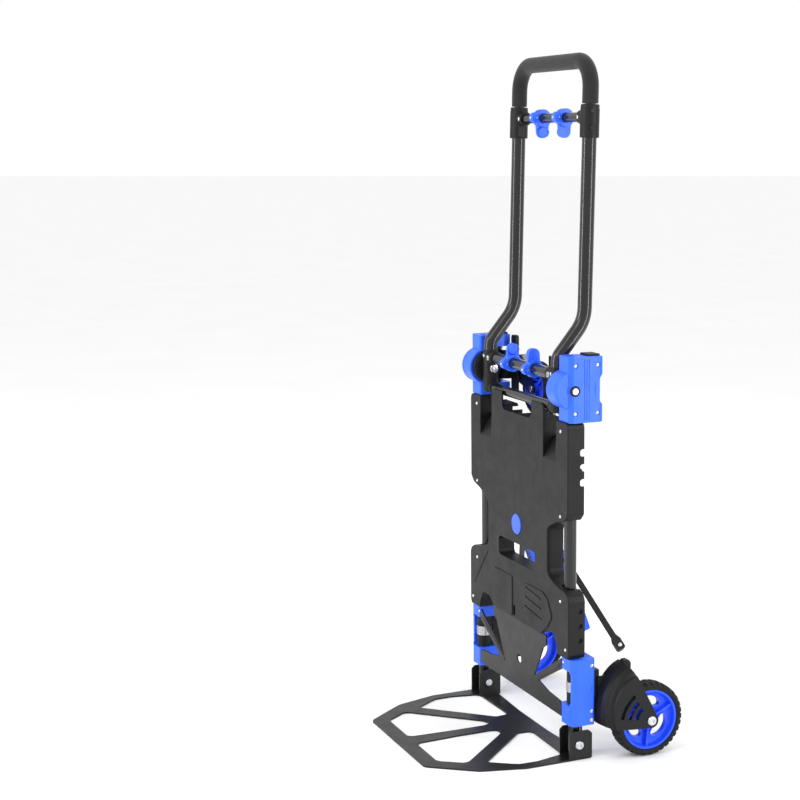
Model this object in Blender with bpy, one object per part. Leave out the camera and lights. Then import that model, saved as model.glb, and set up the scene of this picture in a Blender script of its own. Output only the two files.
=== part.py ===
"""Folding platform cart, shown as a hand truck: nose plate down, road wheels out, handle up with the grip pushed in.

Lengths are in millimetres in the code and metres in the scene. x is across the cart, y runs from the load side
(negative) to the wheel side, z is up from the floor. Left and right pieces are mirror images.
"""
import bpy
import bmesh
import math
from math import sin, cos, pi, radians, sqrt
from mathutils import Vector, Matrix

for old in list(bpy.data.objects):
    bpy.data.objects.remove(old, do_unlink=True)

# ---------------------------------------------------------------- driving dimensions (mm)
Y_SHIFT = 14.5           # moves the middle of the overall depth to y = 0
TUBE_R = 11.0            # side tube
TUBE_X, TUBE_Y = 174.0, 21.0
FOOT_X = 192.0           # side tube below the bend, and road wheel hinge
DECK_T = 32.0
SKIN = 3.0
DECK_TOP, DECK_BOTTOM = 617.0, 181.3
WING_X, LOW_WING_X, WAIST_X = 204.0, 209.0, 126.0
NOSE_HINGE = (21.0, 27.0)
NOSE_T = 3.0
WHEEL_R, RIM_R, WHEEL_W = 66.0, 54.0, 34.0
WHEEL_C = (232.0, 142.0, 66.0)
CASTER_R, CASTER_RIM_R, CASTER_W = 50.5, 40.5, 24.0
CASTER_C = (68.0, 78.0, 616.0)
KINGPIN = (78.0, 652.0)
CASTER_HINGE = (184.0, 41.5)
PIVOT = (13.0, 650.0)    # handle pivot, y and z
ARM_X, ARM_R = 140.0, 14.25
HANDLE_R, HANDLE_BORE = 12.5, 9.4
BEND_LOW, BEND_HIGH, TOP = 700.0, 762.0, 1217.0
Y_HIGH, Y_TOP = 64.0, 73.0   # handle tube behind the deck front at z 762 and 1129
FOAM_R, GRIP_R = 14.0, 9.0
LEVER_PIVOT = (46.0, 352.0)
LEVER_TILT = 20.0
ROD_X, ROD_PIN_R = 90.0, 27.36
ROD_END = (216.0, 109.0, 178.0)
GAP = 0.3

# ---------------------------------------------------------------- materials
def material(name, rgb, rough, metal=0.0):
    m = bpy.data.materials.new(name)
    m.use_nodes = True
    b = m.node_tree.nodes["Principled BSDF"]
    b.inputs["Base Color"].default_value = (*rgb, 1.0)
    b.inputs["Roughness"].default_value = rough
    b.inputs["Metallic"].default_value = metal
    return m


BLUE = material("blue_plastic", (0.03, 0.14, 0.90), 0.38)
RIM = material("rim_blue", (0.015, 0.06, 0.85), 0.38)
BLACK = material("black_plastic", (0.022, 0.022, 0.024), 0.5)
PAINT = material("black_tube", (0.012, 0.012, 0.013), 0.25, 0.4)
PLATE = material("black_steel", (0.016, 0.016, 0.017), 0.42, 0.3)
RUBBER = material("tyre_rubber", (0.02, 0.02, 0.021), 0.75)
FOAM = material("grip_foam", (0.018, 0.018, 0.019), 0.9)
STEEL = material("bright_steel", (0.62, 0.63, 0.65), 0.25, 1.0)
BADGE = material("badge_blue", (0.03, 0.12, 0.75), 0.35)


# ---------------------------------------------------------------- small modelling kit
def mesh_object(name, bm, mat):
    bmesh.ops.remove_doubles(bm, verts=bm.verts, dist=0.002)
    bmesh.ops.recalc_face_normals(bm, faces=bm.faces)
    mesh = bpy.data.meshes.new(name)
    bm.to_mesh(mesh)
    bm.free()
    obj = bpy.data.objects.new(name, mesh)
    bpy.context.scene.collection.objects.link(obj)
    mesh.materials.append(mat)
    return obj


def to_world(u, v, w, plane):
    return {"XZ": (u, w, v), "YZ": (w, u, v), "XY": (u, v, w)}[plane]


def prism(points, plane, lo, hi, name="p", mat=None, bevel=0.0, segments=2):
    """Polygon (u, v) in a plane, extruded from lo to hi along the third axis."""
    bm = bmesh.new()
    low = [bm.verts.new(to_world(u, v, lo, plane)) for u, v in points]
    high = [bm.verts.new(to_world(u, v, hi, plane)) for u, v in points]
    n = len(points)
    bm.faces.new(low)
    bm.faces.new(high)
    for i in range(n):
        bm.faces.new((low[i], low[(i + 1) % n], high[(i + 1) % n], high[i]))
    bmesh.ops.recalc_face_normals(bm, faces=bm.faces)
    if bevel:
        bmesh.ops.bevel(bm, geom=list(bm.edges), offset=bevel, segments=segments, affect="EDGES", profile=0.5)
    return mesh_object(name, bm, mat or BLACK)


def block(x0, x1, y0, y1, z0, z1, name="b", mat=None, bevel=0.0, segments=2):
    x0, x1 = min(x0, x1), max(x0, x1)
    return prism([(x0, y0), (x1, y0), (x1, y1), (x0, y1)], "XY", z0, z1, name, mat, bevel, segments)


def frame_for(direction):
    d = Vector(direction).normalized()
    helper = Vector((0, 0, 1)) if abs(d.z) < 0.9 else Vector((1, 0, 0))
    u = d.cross(helper).normalized()
    return d, u, d.cross(u).normalized()


def lathe(profile, centre, direction, name="l", mat=None, steps=24, ring=False, turn=0.0):
    """Revolve (r, s) points about an axis; s is measured from centre. ring: the profile closes on itself."""
    d, u, v = frame_for(direction)
    c = Vector(centre)
    bm = bmesh.new()
    rows = []
    for r, s in profile:
        if r < 1e-6:
            rows.append([bm.verts.new(c + d * s)])
        else:
            rows.append([bm.verts.new(c + d * s + (u * cos(2 * pi * (k + turn) / steps) + v * sin(2 * pi * (k + turn) / steps)) * r)
                         for k in range(steps)])
    pairs = list(zip(rows, rows[1:])) + ([(rows[-1], rows[0])] if ring else [])
    for a, b in pairs:
        for k in range(steps):
            j = (k + 1) % steps
            if len(a) == 1 and len(b) == 1:
                continue
            if len(a) == 1:
                bm.faces.new((a[0], b[k], b[j]))
            elif len(b) == 1:
                bm.faces.new((a[k], b[0], a[j]))
            else:
                bm.faces.new((a[k], b[k], b[j], a[j]))
    if not ring:
        if len(rows[0]) > 1:
            bm.faces.new(rows[0])
        if len(rows[-1]) > 1:
            bm.faces.new(rows[-1])
    obj = mesh_object(name, bm, mat or BLACK)
    return obj


def rod(p, q, r, name="r", mat=None, steps=24, chamfer=0.0):
    p, q = Vector(p), Vector(q)
    length = (q - p).length
    c = chamfer
    profile = [(r - c, 0), (r, c), (r, length - c), (r - c, length)] if c else [(r, 0), (r, length)]
    return lathe(profile, p, q - p, name, mat, steps)


def corner_path(points, radius, steps=5):
    """Polyline with its inner corners rounded."""
    pts = [Vector(p) for p in points]
    out = [pts[0]]
    radii = radius if isinstance(radius, (list, tuple)) else [radius] * (len(pts) - 2)
    for a, b, c, r in zip(pts, pts[1:], pts[2:], radii):
        u, w = (a - b).normalized(), (c - b).normalized()
        angle = u.angle(w)
        turn = pi - angle
        if turn < 1e-3:
            continue
        cut = r * math.tan(turn / 2)
        centre = b + (u + w).normalized() * (r / cos(turn / 2))
        start = b + u * cut - centre
        axis = start.cross(b + w * cut - centre).normalized()
        for k in range(steps + 1):
            out.append(centre + Matrix.Rotation(turn * k / steps, 3, axis) @ start)
    out.append(pts[-1])
    return out


def sweep(path, r, name="s", mat=None, steps=16, bore=0.0):
    """Round bar or tube along a path, with mitred stations."""
    path = [Vector(p) for p in path]
    d0, u, v = frame_for(path[1] - path[0])
    bm = bmesh.new()
    outer, inner = [], []
    for i, p in enumerate(path):
        before = (path[i] - path[i - 1]).normalized() if i else (path[1] - path[0]).normalized()
        after = (path[i + 1] - path[i]).normalized() if i < len(path) - 1 else before
        tangent = (before + after).normalized()
        u = (u - tangent * u.dot(tangent)).normalized()
        v = tangent.cross(u).normalized()
        stretch = 1.0 / max(0.5, tangent.dot(before))
        bend = (after - before)
        b = bend.normalized() if bend.length > 1e-6 else None

        def ring_at(radius):
            verts = []
            for k in range(steps):
                a = 2 * pi * k / steps
                o = (u * cos(a) + v * sin(a)) * radius
                if b is not None:
                    bb = (b - tangent * b.dot(tangent)).normalized()
                    o += bb * o.dot(bb) * (stretch - 1.0)
                verts.append(bm.verts.new(p + o))
            return verts
        outer.append(ring_at(r))
        if bore:
            inner.append(ring_at(bore))
    for rows in (outer, inner):
        for a, c in zip(rows, rows[1:]):
            for k in range(steps):
                j = (k + 1) % steps
                bm.faces.new((a[k], a[j], c[j], c[k]))
    if bore:
        for a, c in ((outer[0], inner[0]), (outer[-1], inner[-1])):
            for k in range(steps):
                j = (k + 1) % steps
                bm.faces.new((a[k], a[j], c[j], c[k]))
    else:
        bm.faces.new(outer[0])
        bm.faces.new(outer[-1])
    return mesh_object(name, bm, mat or BLACK)


def boolean(obj, others, operation):
    for other in others:
        mod = obj.modifiers.new("b", "BOOLEAN")
        mod.operation = operation
        mod.solver = "EXACT"
        mod.object = other
        graph = bpy.context.evaluated_depsgraph_get()
        fresh = bpy.data.meshes.new_from_object(obj.evaluated_get(graph))
        obj.modifiers.clear()
        obj.data = fresh
        bpy.data.objects.remove(other, do_unlink=True)
    return obj


def cut(obj, *others):
    return boolean(obj, others, "DIFFERENCE")


def add(obj, *others):
    return boolean(obj, others, "UNION")


def keep(obj, other):
    return boolean(obj, [other], "INTERSECT")


def tidy(obj, flat=0.35):
    """Merge what a Boolean leaves, drop flat edges, and shade round faces smooth."""
    bm = bmesh.new()
    bm.from_mesh(obj.data)
    bmesh.ops.remove_doubles(bm, verts=bm.verts, dist=0.004)
    bmesh.ops.dissolve_degenerate(bm, edges=bm.edges, dist=0.004)
    bmesh.ops.dissolve_limit(bm, angle_limit=radians(flat), verts=bm.verts, edges=bm.edges)
    bmesh.ops.triangulate(bm, faces=[f for f in bm.faces if len(f.verts) > 4])
    bmesh.ops.recalc_face_normals(bm, faces=bm.faces)
    bm.to_mesh(obj.data)
    bm.free()
    return obj


pieces = []


def finish(obj, name, mat, origin=(0.0, 0.0, 0.0), smooth=38.0):
    """Millimetres to metres, depth shift, origin on the joint axis, smooth round faces."""
    obj.name = name
    obj.data.name = name
    obj.data.materials.clear()
    obj.data.materials.append(mat)
    o = Vector(origin)
    for vert in obj.data.vertices:
        vert.co = (vert.co - o) * 0.001
    obj.location = ((o.x) * 0.001, (o.y + Y_SHIFT) * 0.001, o.z * 0.001)
    for face in obj.data.polygons:
        face.material_index = 0
        face.use_smooth = True
    bm = bmesh.new()
    bm.from_mesh(obj.data)
    for edge in bm.edges:
        edge.smooth = len(edge.link_faces) == 2 and edge.calc_face_angle(0.0) < radians(smooth)
    bm.to_mesh(obj.data)
    bm.free()
    pieces.append(obj)
    return obj


def both(build):
    """Run a builder for the right side (+x) and the left side (-x)."""
    for side, tag in ((1, "R"), (-1, "L")):
        build(side, tag)


def mirror_points(points, side):
    return [(side * x, z) for x, z in points]


def arc(cx, cy, r, a0, a1, n):
    return [(cx + r * cos(radians(a0 + (a1 - a0) * k / n)), cy + r * sin(radians(a0 + (a1 - a0) * k / n))) for k in range(n + 1)]


def lean(z):
    """Depth of the leaning upper handle tube at height z."""
    return Y_HIGH + (z - BEND_HIGH) * (Y_TOP - Y_HIGH) / (1129.0 - BEND_HIGH)


# ---------------------------------------------------------------- deck panel
half = [(0, DECK_TOP), (100, DECK_TOP), (109, 612), (109, 560), (159, 560), (159, 595), (196, 595), (202, 592), (WING_X, 586), (WING_X, 436), (192, 424),
        (164, 417), (134, 404), (WAIST_X, 396), (WAIST_X, 322), (131, 315), (150, 307), (172, 302), (192, 300), (204, 294), (LOW_WING_X, 285),
        (LOW_WING_X, 190), (205, DECK_BOTTOM), (166, DECK_BOTTOM), (140, 190), (112, 200), (0, 200)]
outline = [(x, z) for x, z in half] + [(-x, z) for x, z in reversed(half[1:-1])]
deck = prism(outline, "XZ", 0.0, DECK_T, "deck", BLACK)
# soft front edge
bm = bmesh.new()
bm.from_mesh(deck.data)
front = [e for e in bm.edges if all(abs(v.co.y) < 1e-4 for v in e.verts)]
bmesh.ops.bevel(bm, geom=front, offset=4.0, segments=2, affect="EDGES", profile=0.5)
bm.to_mesh(deck.data)
bm.free()

def pocket(x0, x1, z0, z1, depth=SKIN):
    return block(x0, x1, depth, DECK_T + 2, z0, z1)

cutters = []
for s in (1, -1):
    # side tube channel, open at the back, straight above and spread below
    cutters.append(block(s * 162.2, s * 185.8, 9.4, DECK_T + 2, 408, 640))
    cutters.append(prism(mirror_points([(161.8, 330), (161.8, 268), (178.2, 200), (178.2, 160), (205.2, 160), (205.2, 200), (187, 276), (187, 330)], s),
                         "XZ", 9.4, DECK_T + 2))
    # trough for the folded handle tube, with a sloped floor
    cutters.append(prism([(-4, 515.8), (34, 575.4), (34, 640), (-4, 640)], "YZ", min(s * 109, s * 159), max(s * 109, s * 159)))
    # back pockets in the upper wing
    for z0, z1 in ((430, 470), (473, 512)):
        cutters.append(pocket(s * 129, s * 159, z0, z1))
    for z0, z1 in ((440, 510), (513, 583)):
        cutters.append(pocket(s * 188.8, s * 200, z0, z1, 6.0))
    # three notches in the wing's back edge, and three in the lower wing
    for z in (491, 517, 543):
        cutters.append(rod((s * 199, 30, z), (s * 208, 30, z), 6.5, steps=8))
    for z in (214, 240, 266):
        cutters.append(rod((s * 206, 23, z), (s * 212, 23, z), 4.5, steps=8))
    # lower wing pockets
    for z0, z1 in ((210, 251), (254, 296)):
        cutters.append(pocket(s * 129, s * 158, z0, z1))
# upper field pockets behind the top handle bar path
cutters.append(block(-110, 110, SKIN, DECK_T + 2, 592, 640))
for x0, x1 in ((2, 41), (44, 83), (86, 125)):
    for z0, z1 in ((353, 378), (381, 446), (449, 514), (517, 587)):
        for s in (1, -1):
            if x0 == 86 and z1 > 510:
                x1c = 106
            else:
                x1c = x1
            if x0 == 44 and z0 == 353:
                continue
            if x0 == 86 and z0 == 353:
                z0c = 326
            else:
                z0c = z0
            cutters.append(pocket(s * x0, s * x1c, z0c, z1))
# lower field pockets
for x0, x1 in ((2, 41), (44, 83), (86, 125)):
    for z0, z1 in ((206, 251), (254, 300)):
        for s in (1, -1):
            cutters.append(pocket(s * x0, s * x1, z0, z1))
# hand notch at the top and the window below the badge
cutters.append(prism([(-62, 640), (-62, 590), (-55, 583), (55, 583), (62, 590), (62, 640)], "XZ", -4, DECK_T + 4))
cutters.append(prism([(-76, 338), (-70, 344), (70, 344), (76, 338), (76, 316), (70, 310), (-70, 310), (-76, 316)], "XZ", -4, DECK_T + 4))
# badge recess
cutters.append(rod((0, -2, 380), (0, 1.0, 380), 20.3, steps=24))
cut(deck, *cutters)
# moulded flaps on the lower front: a plain one on the left and a grooved one on the right
flap = prism([(-103, 276), (-98, 280), (-15, 280), (-15, 206), (-70, 206), (-103, 214)], "XZ", -1.6, 1.0)
pad = prism([(30, 280), (112, 278), (124, 270), (142, 244), (128, 222), (98, 204), (30, 214)], "XZ", -1.6, 1.0)
grooves = [prism([(44 + k * 24, 266), (50 + k * 24, 268), (84 + k * 24, 232), (78 + k * 24, 229)], "XZ", -3.0, -0.6) for k in range(2)]
cut(pad, *grooves)
add(deck, flap, pad)
tidy(deck)
finish(deck, "deck_panel", BLACK)

badge = lathe([(18.6, 0.8), (18.6, -0.6), (17.6, -1.2), (0, -1.2)], (0, 0, 380), (0, 1, 0), steps=24)
finish(badge, "deck_badge", BADGE)


# ---------------------------------------------------------------- side tubes
def side_tube(s, tag):
    path = corner_path([(s * FOOT_X, TUBE_Y, 12), (s * FOOT_X, TUBE_Y, 205), (s * TUBE_X, TUBE_Y, 270), (s * TUBE_X, TUBE_Y, 594.6)], 60, 3)
    tube = sweep(path, TUBE_R, steps=12)
    hole = rod((s * 150, NOSE_HINGE[0], NOSE_HINGE[1]), (s * 230, NOSE_HINGE[0], NOSE_HINGE[1]), 4.4, steps=12)
    cut(tube, hole)
    tidy(tube)
    finish(tube, "side_tube_" + tag, PAINT)


both(side_tube)


# ---------------------------------------------------------------- lower brackets
def lower_bracket(s, tag):
    plan = [(173, 10), (177, 4), (206, 4), (213, 8), (215, 16), (215, 46), (211, 50), (180, 50), (173, 43)]
    body = prism([(s * x, y) for x, y in plan], "XY", 62, 181)
    window = block(s * 172, s * 206, 2, 52, 97, 159)
    front = prism([(2, 97), (6.5, 101), (6.5, 155), (2, 159)], "YZ", min(s * 203, s * 217), max(s * 203, s * 217))
    bore = rod((s * FOOT_X, TUBE_Y, 50), (s * FOOT_X, TUBE_Y, 190), TUBE_R + 0.8, steps=16)
    cut(body, window, front, bore)
    tidy(body)
    finish(body, "lower_bracket_" + tag, BLUE)


both(lower_bracket)


# ---------------------------------------------------------------- cross plate between the lower brackets
band = prism([(-172.6, 70), (172.6, 70), (172.6, 96), (120, 100), (40, 118), (-40, 118), (-120, 100), (-172.6, 96)], "XZ", 5, 8)
post = prism([(-52, 90), (52, 90), (66, 116), (98, 172), (98, 199.6), (-98, 199.6), (-98, 172), (-66, 116)], "XZ", 5, 8)
braces = [prism(mirror_points([(28, 92), (52, 92), (172.6, 156), (172.6, 176)], s), "XZ", 5, 8) for s in (1, -1)]
top_band = prism([(-112, 199.6), (-112, 182), (-90, 168), (90, 168), (112, 182), (112, 199.6)], "XZ", 5, 8)
plate = add(band, post, top_band, *braces)
flange = block(-172.6, 172.6, 5, 17, 70, 73)
add(plate, flange)
cut(plate, rod((0, 0, 126), (0, 20, 126), 9, steps=12))
tidy(plate)
finish(plate, "cross_plate", PLATE)


# ---------------------------------------------------------------- upper brackets with the handle pivot housing
def upper_bracket(s, tag):
    plan = [(164, 5), (167, 2), (199, 2), (206, 9), (206, 60), (203, 67), (168, 67), (164, 63)]
    body = prism([(s * x, y) for x, y in plan], "XY", 595, 708)
    disc = lathe([(33, 160.2), (33, 199.5), (0, 199.5)], (0, PIVOT[0], PIVOT[1]), (s, 0, 0), steps=28)
    add(body, disc)
    window = block(s * 155, s * 202, 26.5, 80, 616.6, 685.4)
    notch = prism([(58, 623), (70, 616), (70, 686), (58, 679)], "YZ", min(s * 200, s * 210), max(s * 200, s * 210))
    groove = [block(s * 205, s * 208, y, y + 1.6, 590, 712) for y in (30, 34.5, 39)]
    bore = rod((s * 150, PIVOT[0], PIVOT[1]), (s * 212, PIVOT[0], PIVOT[1]), 5.6, steps=12)
    cut(body, window, notch, bore, *groove)
    tidy(body)
    finish(body, "upper_bracket_" + tag, BLUE)
    bolt = lathe([(0, 210), (7, 210), (9, 208.6), (9, 206.3), (5, 206.3), (5, 125.3), (8, 125.3), (8, 122.5), (6.5, 121.5), (0, 121.5)],
                 (0, PIVOT[0], PIVOT[1]), (s, 0, 0), steps=12)
    finish(bolt, "handle_pivot_bolt_" + tag, STEEL)
    pin = lathe([(5, 616.9), (5, 641), (10.5, 641), (10.5, 660.5), (5, 660.5), (5, 685.1)], (s * CASTER_HINGE[0], CASTER_HINGE[1], 0), (0, 0, 1), steps=16)
    finish(pin, "caster_hinge_pin_" + tag, STEEL)


both(upper_bracket)


# ---------------------------------------------------------------- release lever mounting
def lever_clevis(s, tag):
    y, z = LEVER_PIVOT
    foot = prism([(DECK_T + 0.3, 345), (y + 2, 345), (y + 8, 349), (y + 8, 356), (y + 2, 361), (DECK_T + 0.3, 366)], "YZ",
                 min(s * 59, s * 66.5), max(s * 59, s * 66.5))
    pin = lathe([(0, 57), (5.5, 57), (5.5, 60), (3.5, 60), (3.5, 77), (0, 77)], (0, y, z), (s, 0, 0), steps=16)
    add(foot, pin)
    tidy(foot)
    finish(foot, "lever_clevis_" + tag, PLATE)


both(lever_clevis)


# ---------------------------------------------------------------- release lever (hangs down, tilted back)
def tilt(obj):
    m = Matrix.Translation((0, LEVER_PIVOT[0], LEVER_PIVOT[1])) @ Matrix.Rotation(radians(LEVER_TILT), 4, "X") @ Matrix.Translation((0, -LEVER_PIVOT[0], -LEVER_PIVOT[1]))
    obj.data.transform(m)
    return obj


py, pz = LEVER_PIVOT
frame_pts = [(-80, pz - 176), (80, pz - 176), (80, pz + 7), (70.5, pz + 7), (70.5, pz - 20), (57, pz - 20), (57, pz - 152), (-57, pz - 152),
             (-57, pz - 20), (-70.5, pz - 20), (-70.5, pz + 7), (-80, pz + 7)]
lever = prism(frame_pts, "XZ", py - 6.5, py + 6.5)
middle = block(-58, 58, py - 6.5, py + 6.5, pz - 101, pz - 77)
add(lever, middle)
cells = []
for s in (1, -1):
    for z0, z1 in ((-148, -126), (-123, -101), (-98, -76), (-73, -50), (-47, -23)):
        cells.append(block(s * 60, s * 77.5, py - 3, py + 9, pz + z0, pz + z1))
for k in range(4):
    x0 = -55.5 + k * 28.3
    cells.append(block(x0, x0 + 25.8, py - 3, py + 9, pz - 98.5, pz - 79.5))
for s in (1, -1):
    cells.append(rod((s * 65, py, pz), (s * 85, py, pz), 3.9, steps=16))
cut(lever, *cells)
studs = [rod((s * 79, py, pz - ROD_PIN_R), (s * 83.6, py, pz - ROD_PIN_R), 3.2, steps=12) for s in (1, -1)]
add(lever, *studs)
tidy(lever)
tilt(lever)
finish(lever, "release_lever", BLUE, (0, py, pz))


# ---------------------------------------------------------------- link rods
def link_rod(s, tag):
    j = Vector((s * ROD_X, py + ROD_PIN_R * sin(radians(LEVER_TILT)), pz - ROD_PIN_R * cos(radians(LEVER_TILT))))
    e = Vector((s * ROD_END[0], ROD_END[1], ROD_END[2]))
    d = (e - j).normalized()
    length = (e - j).length
    side = Vector((s, 0, 0))
    side = (side - d * side.dot(d)).normalized()
    other = d.cross(side)

    def box_along(a, b, w, t):
        o = bmesh.new()
        vs = []
        for along in (a, b):
            for p, q in ((-1, -1), (1, -1), (1, 1), (-1, 1)):
                vs.append(o.verts.new(j + d * along + other * (w * p / 2) + side * (t * q / 2)))
        for f in ((0, 1, 2, 3), (7, 6, 5, 4), (0, 4, 5, 1), (1, 5, 6, 2), (2, 6, 7, 3), (3, 7, 4, 0)):
            o.faces.new([vs[i] for i in f])
        bmesh.ops.bevel(o, geom=list(o.edges), offset=0.8, segments=1, affect="EDGES")
        return mesh_object("x", o, PLATE)
    bar = box_along(-6, length - 30, 10, 4.5)
    block_end = box_along(length - 36, length - 12, 15, 13)
    add(bar, block_end)
    tidy(bar)
    finish(bar, "link_rod_" + tag, PLATE, j)


both(link_rod)


# ---------------------------------------------------------------- road wheel carriers
def carrier(s, tag):
    hinge = (s * FOOT_X, TUBE_Y, 0)
    # guard: flat outer face over the wheel, and an oval dome that falls back towards the tube
    dome = [(66, 254), (73, 248), (82, 233), (88, 215), (88, 203), (85.4, 203), (85.4, 214), (79.6, 231.5), (71, 245.4), (65, 251)]
    shell = lathe([(0, 254)] + dome + [(0, 251)], (0, 0, 0), (s, 0, 0), steps=36)
    shell.data.transform(Matrix.Translation((0, 118, 84)) @ Matrix.Diagonal((1, 0.75, 1, 1)))
    side_view = [(50, 64), (66, 60), (100, 56), (134, 53.5)] + arc(142, 66, 13, -80, 35, 6) + [(108, 160), (98, 175), (50, 175)]
    keep(shell, prism(side_view, "YZ", min(s * 150, s * 270), max(s * 150, s * 270)))
    slots = []
    for r, a0, a1 in ((60, 124, 170), (45, 126, 170), (31, 128, 170)):
        pts = arc(142, 66, r + 3.4, a0, a1, 4) + list(reversed(arc(142, 66, r - 3.4, a0, a1, 4)))
        slots.append(prism(pts, "YZ", min(s * 248, s * 260), max(s * 248, s * 260)))
    cut(shell, *slots)
    # inner cheek, web to the knuckle, two knuckle barrels round the side tube
    cheek = prism([(57, 70), (100, 58), (134, 55)] + arc(142, 66, 11, -80, 60, 5) + [(118, 132), (118, 157), (100, 157), (100, 146), (57, 146)], "YZ",
                  min(s * 208.6, s * 211.6), max(s * 208.6, s * 211.6))
    lug = block(s * 208.6, s * 221, 99, 117, 144, 172, bevel=2.5, segments=1)
    web = block(s * 185, s * 199, 27, 61.5, 99, 157)
    bridge = block(s * 196, s * 207, 53.5, 61.5, 99, 157)
    barrels = [lathe([(13.5, z0), (13.5, z1)], (s * FOOT_X, TUBE_Y, 0), (0, 0, 1), steps=16) for z0, z1 in ((98, 119), (137.6, 158))]
    add(shell, cheek, lug, web, bridge, *barrels)
    bore = rod((s * FOOT_X, TUBE_Y, 90), (s * FOOT_X, TUBE_Y, 165), TUBE_R + 0.8, steps=16)
    pocket_mid = block(s * 176, s * 206.6, 6, 36.5, 119, 137.6)
    axle_hole = rod((s * 200, WHEEL_C[1], WHEEL_C[2]), (s * 260, WHEEL_C[1], WHEEL_C[2]), 5.5, steps=12)
    cut(shell, bore, pocket_mid, axle_hole)
    tidy(shell)
    finish(shell, "wheel_guard_" + tag, BLACK, hinge)
    sleeve = lathe([(TUBE_R + 0.8, 119.4), (14, 119.4), (14, 137.2), (TUBE_R + 0.8, 137.2)], (s * FOOT_X, TUBE_Y, 0), (0, 0, 1), steps=16, ring=True)
    finish(sleeve, "wheel_hinge_sleeve_" + tag, STEEL)
    axle = lathe([(0, 206.2), (8, 206.2), (8, 208.3), (5, 208.3), (5, 254.4), (8.4, 254.4), (8.4, 256.6), (7, 257.6), (0, 257.6)],
                 (0, WHEEL_C[1], WHEEL_C[2]), (s, 0, 0), steps=12)
    finish(axle, "wheel_axle_" + tag, STEEL, hinge)


both(carrier)


def wheel(centre, axis, radius, rim_r, width, names, hub_r, web_t, steps, origin, phase):
    w = width / 2
    tyre = lathe([(rim_r, -w + 2), (radius - 5, -w), (radius - 0.8, -w + 5), (radius, 0), (radius - 0.8, w - 5), (radius - 5, w), (rim_r, w - 2)],
                 centre, axis, steps=steps, ring=True)
    finish(tyre, names[0], RUBBER, origin)
    rr = rim_r - GAP
    t, f = web_t / 2, w - 3.5
    rim = lathe([(5.4, -w + 2), (hub_r, -w + 2), (hub_r, -t), (rr - 4, -t), (rr - 3, -f), (rr, -f), (rr, f), (rr - 3, f), (rr - 4, t), (hub_r, t),
                 (hub_r, w - 2), (5.4, w - 2)], centre, axis, steps=steps, ring=True)
    d, u, v = frame_for(axis)
    c = Vector(centre)
    holes, ribs = [], []
    mid, rad, tan = (hub_r + rr - 5) / 2 + 0.5, (rr - 5 - hub_r) * 0.27, (rr - 5 - hub_r) * 0.52
    for k in range(3):
        a = radians(phase + 120 * k)
        radial = u * cos(a) + v * sin(a)
        tangent = u * -sin(a) + v * cos(a)
        bm = bmesh.new()
        rows = []
        for s0 in (-w - 2, w + 2):
            rows.append([bm.verts.new(c + d * s0 + radial * (mid + rad * sin(2 * pi * i / 10)) + tangent * (tan * cos(2 * pi * i / 10))) for i in range(10)])
        bm.faces.new(rows[0])
        bm.faces.new(rows[1])
        for i in range(10):
            j = (i + 1) % 10
            bm.faces.new((rows[0][i], rows[0][j], rows[1][j], rows[1][i]))
        holes.append(mesh_object("h", bm, RIM))
        a = radians(phase + 60 + 120 * k)
        radial = u * cos(a) + v * sin(a)
        tangent = u * -sin(a) + v * cos(a)
        bm = bmesh.new()
        vs = []
        for r0 in (hub_r - 2, rr - 2.5):
            for p, q in ((-1, -1), (1, -1), (1, 1), (-1, 1)):
                vs.append(bm.verts.new(c + radial * r0 + tangent * (1.5 * p) + d * ((w - 5) * q)))
        for fc in ((0, 1, 2, 3), (7, 6, 5, 4), (0, 4, 5, 1), (1, 5, 6, 2), (2, 6, 7, 3), (3, 7, 4, 0)):
            bm.faces.new([vs[i] for i in fc])
        ribs.append(mesh_object("r", bm, RIM))
    cut(rim, *holes)
    add(rim, *ribs)
    tidy(rim)
    finish(rim, names[1], RIM, origin)


for s, tag in ((1, "R"), (-1, "L")):
    c = (s * WHEEL_C[0], WHEEL_C[1], WHEEL_C[2])
    wheel(c, (1, 0, 0), WHEEL_R, RIM_R, WHEEL_W, ("road_tyre_" + tag, "road_rim_" + tag), 12.0, 5.0, 24, c, 265)


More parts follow.
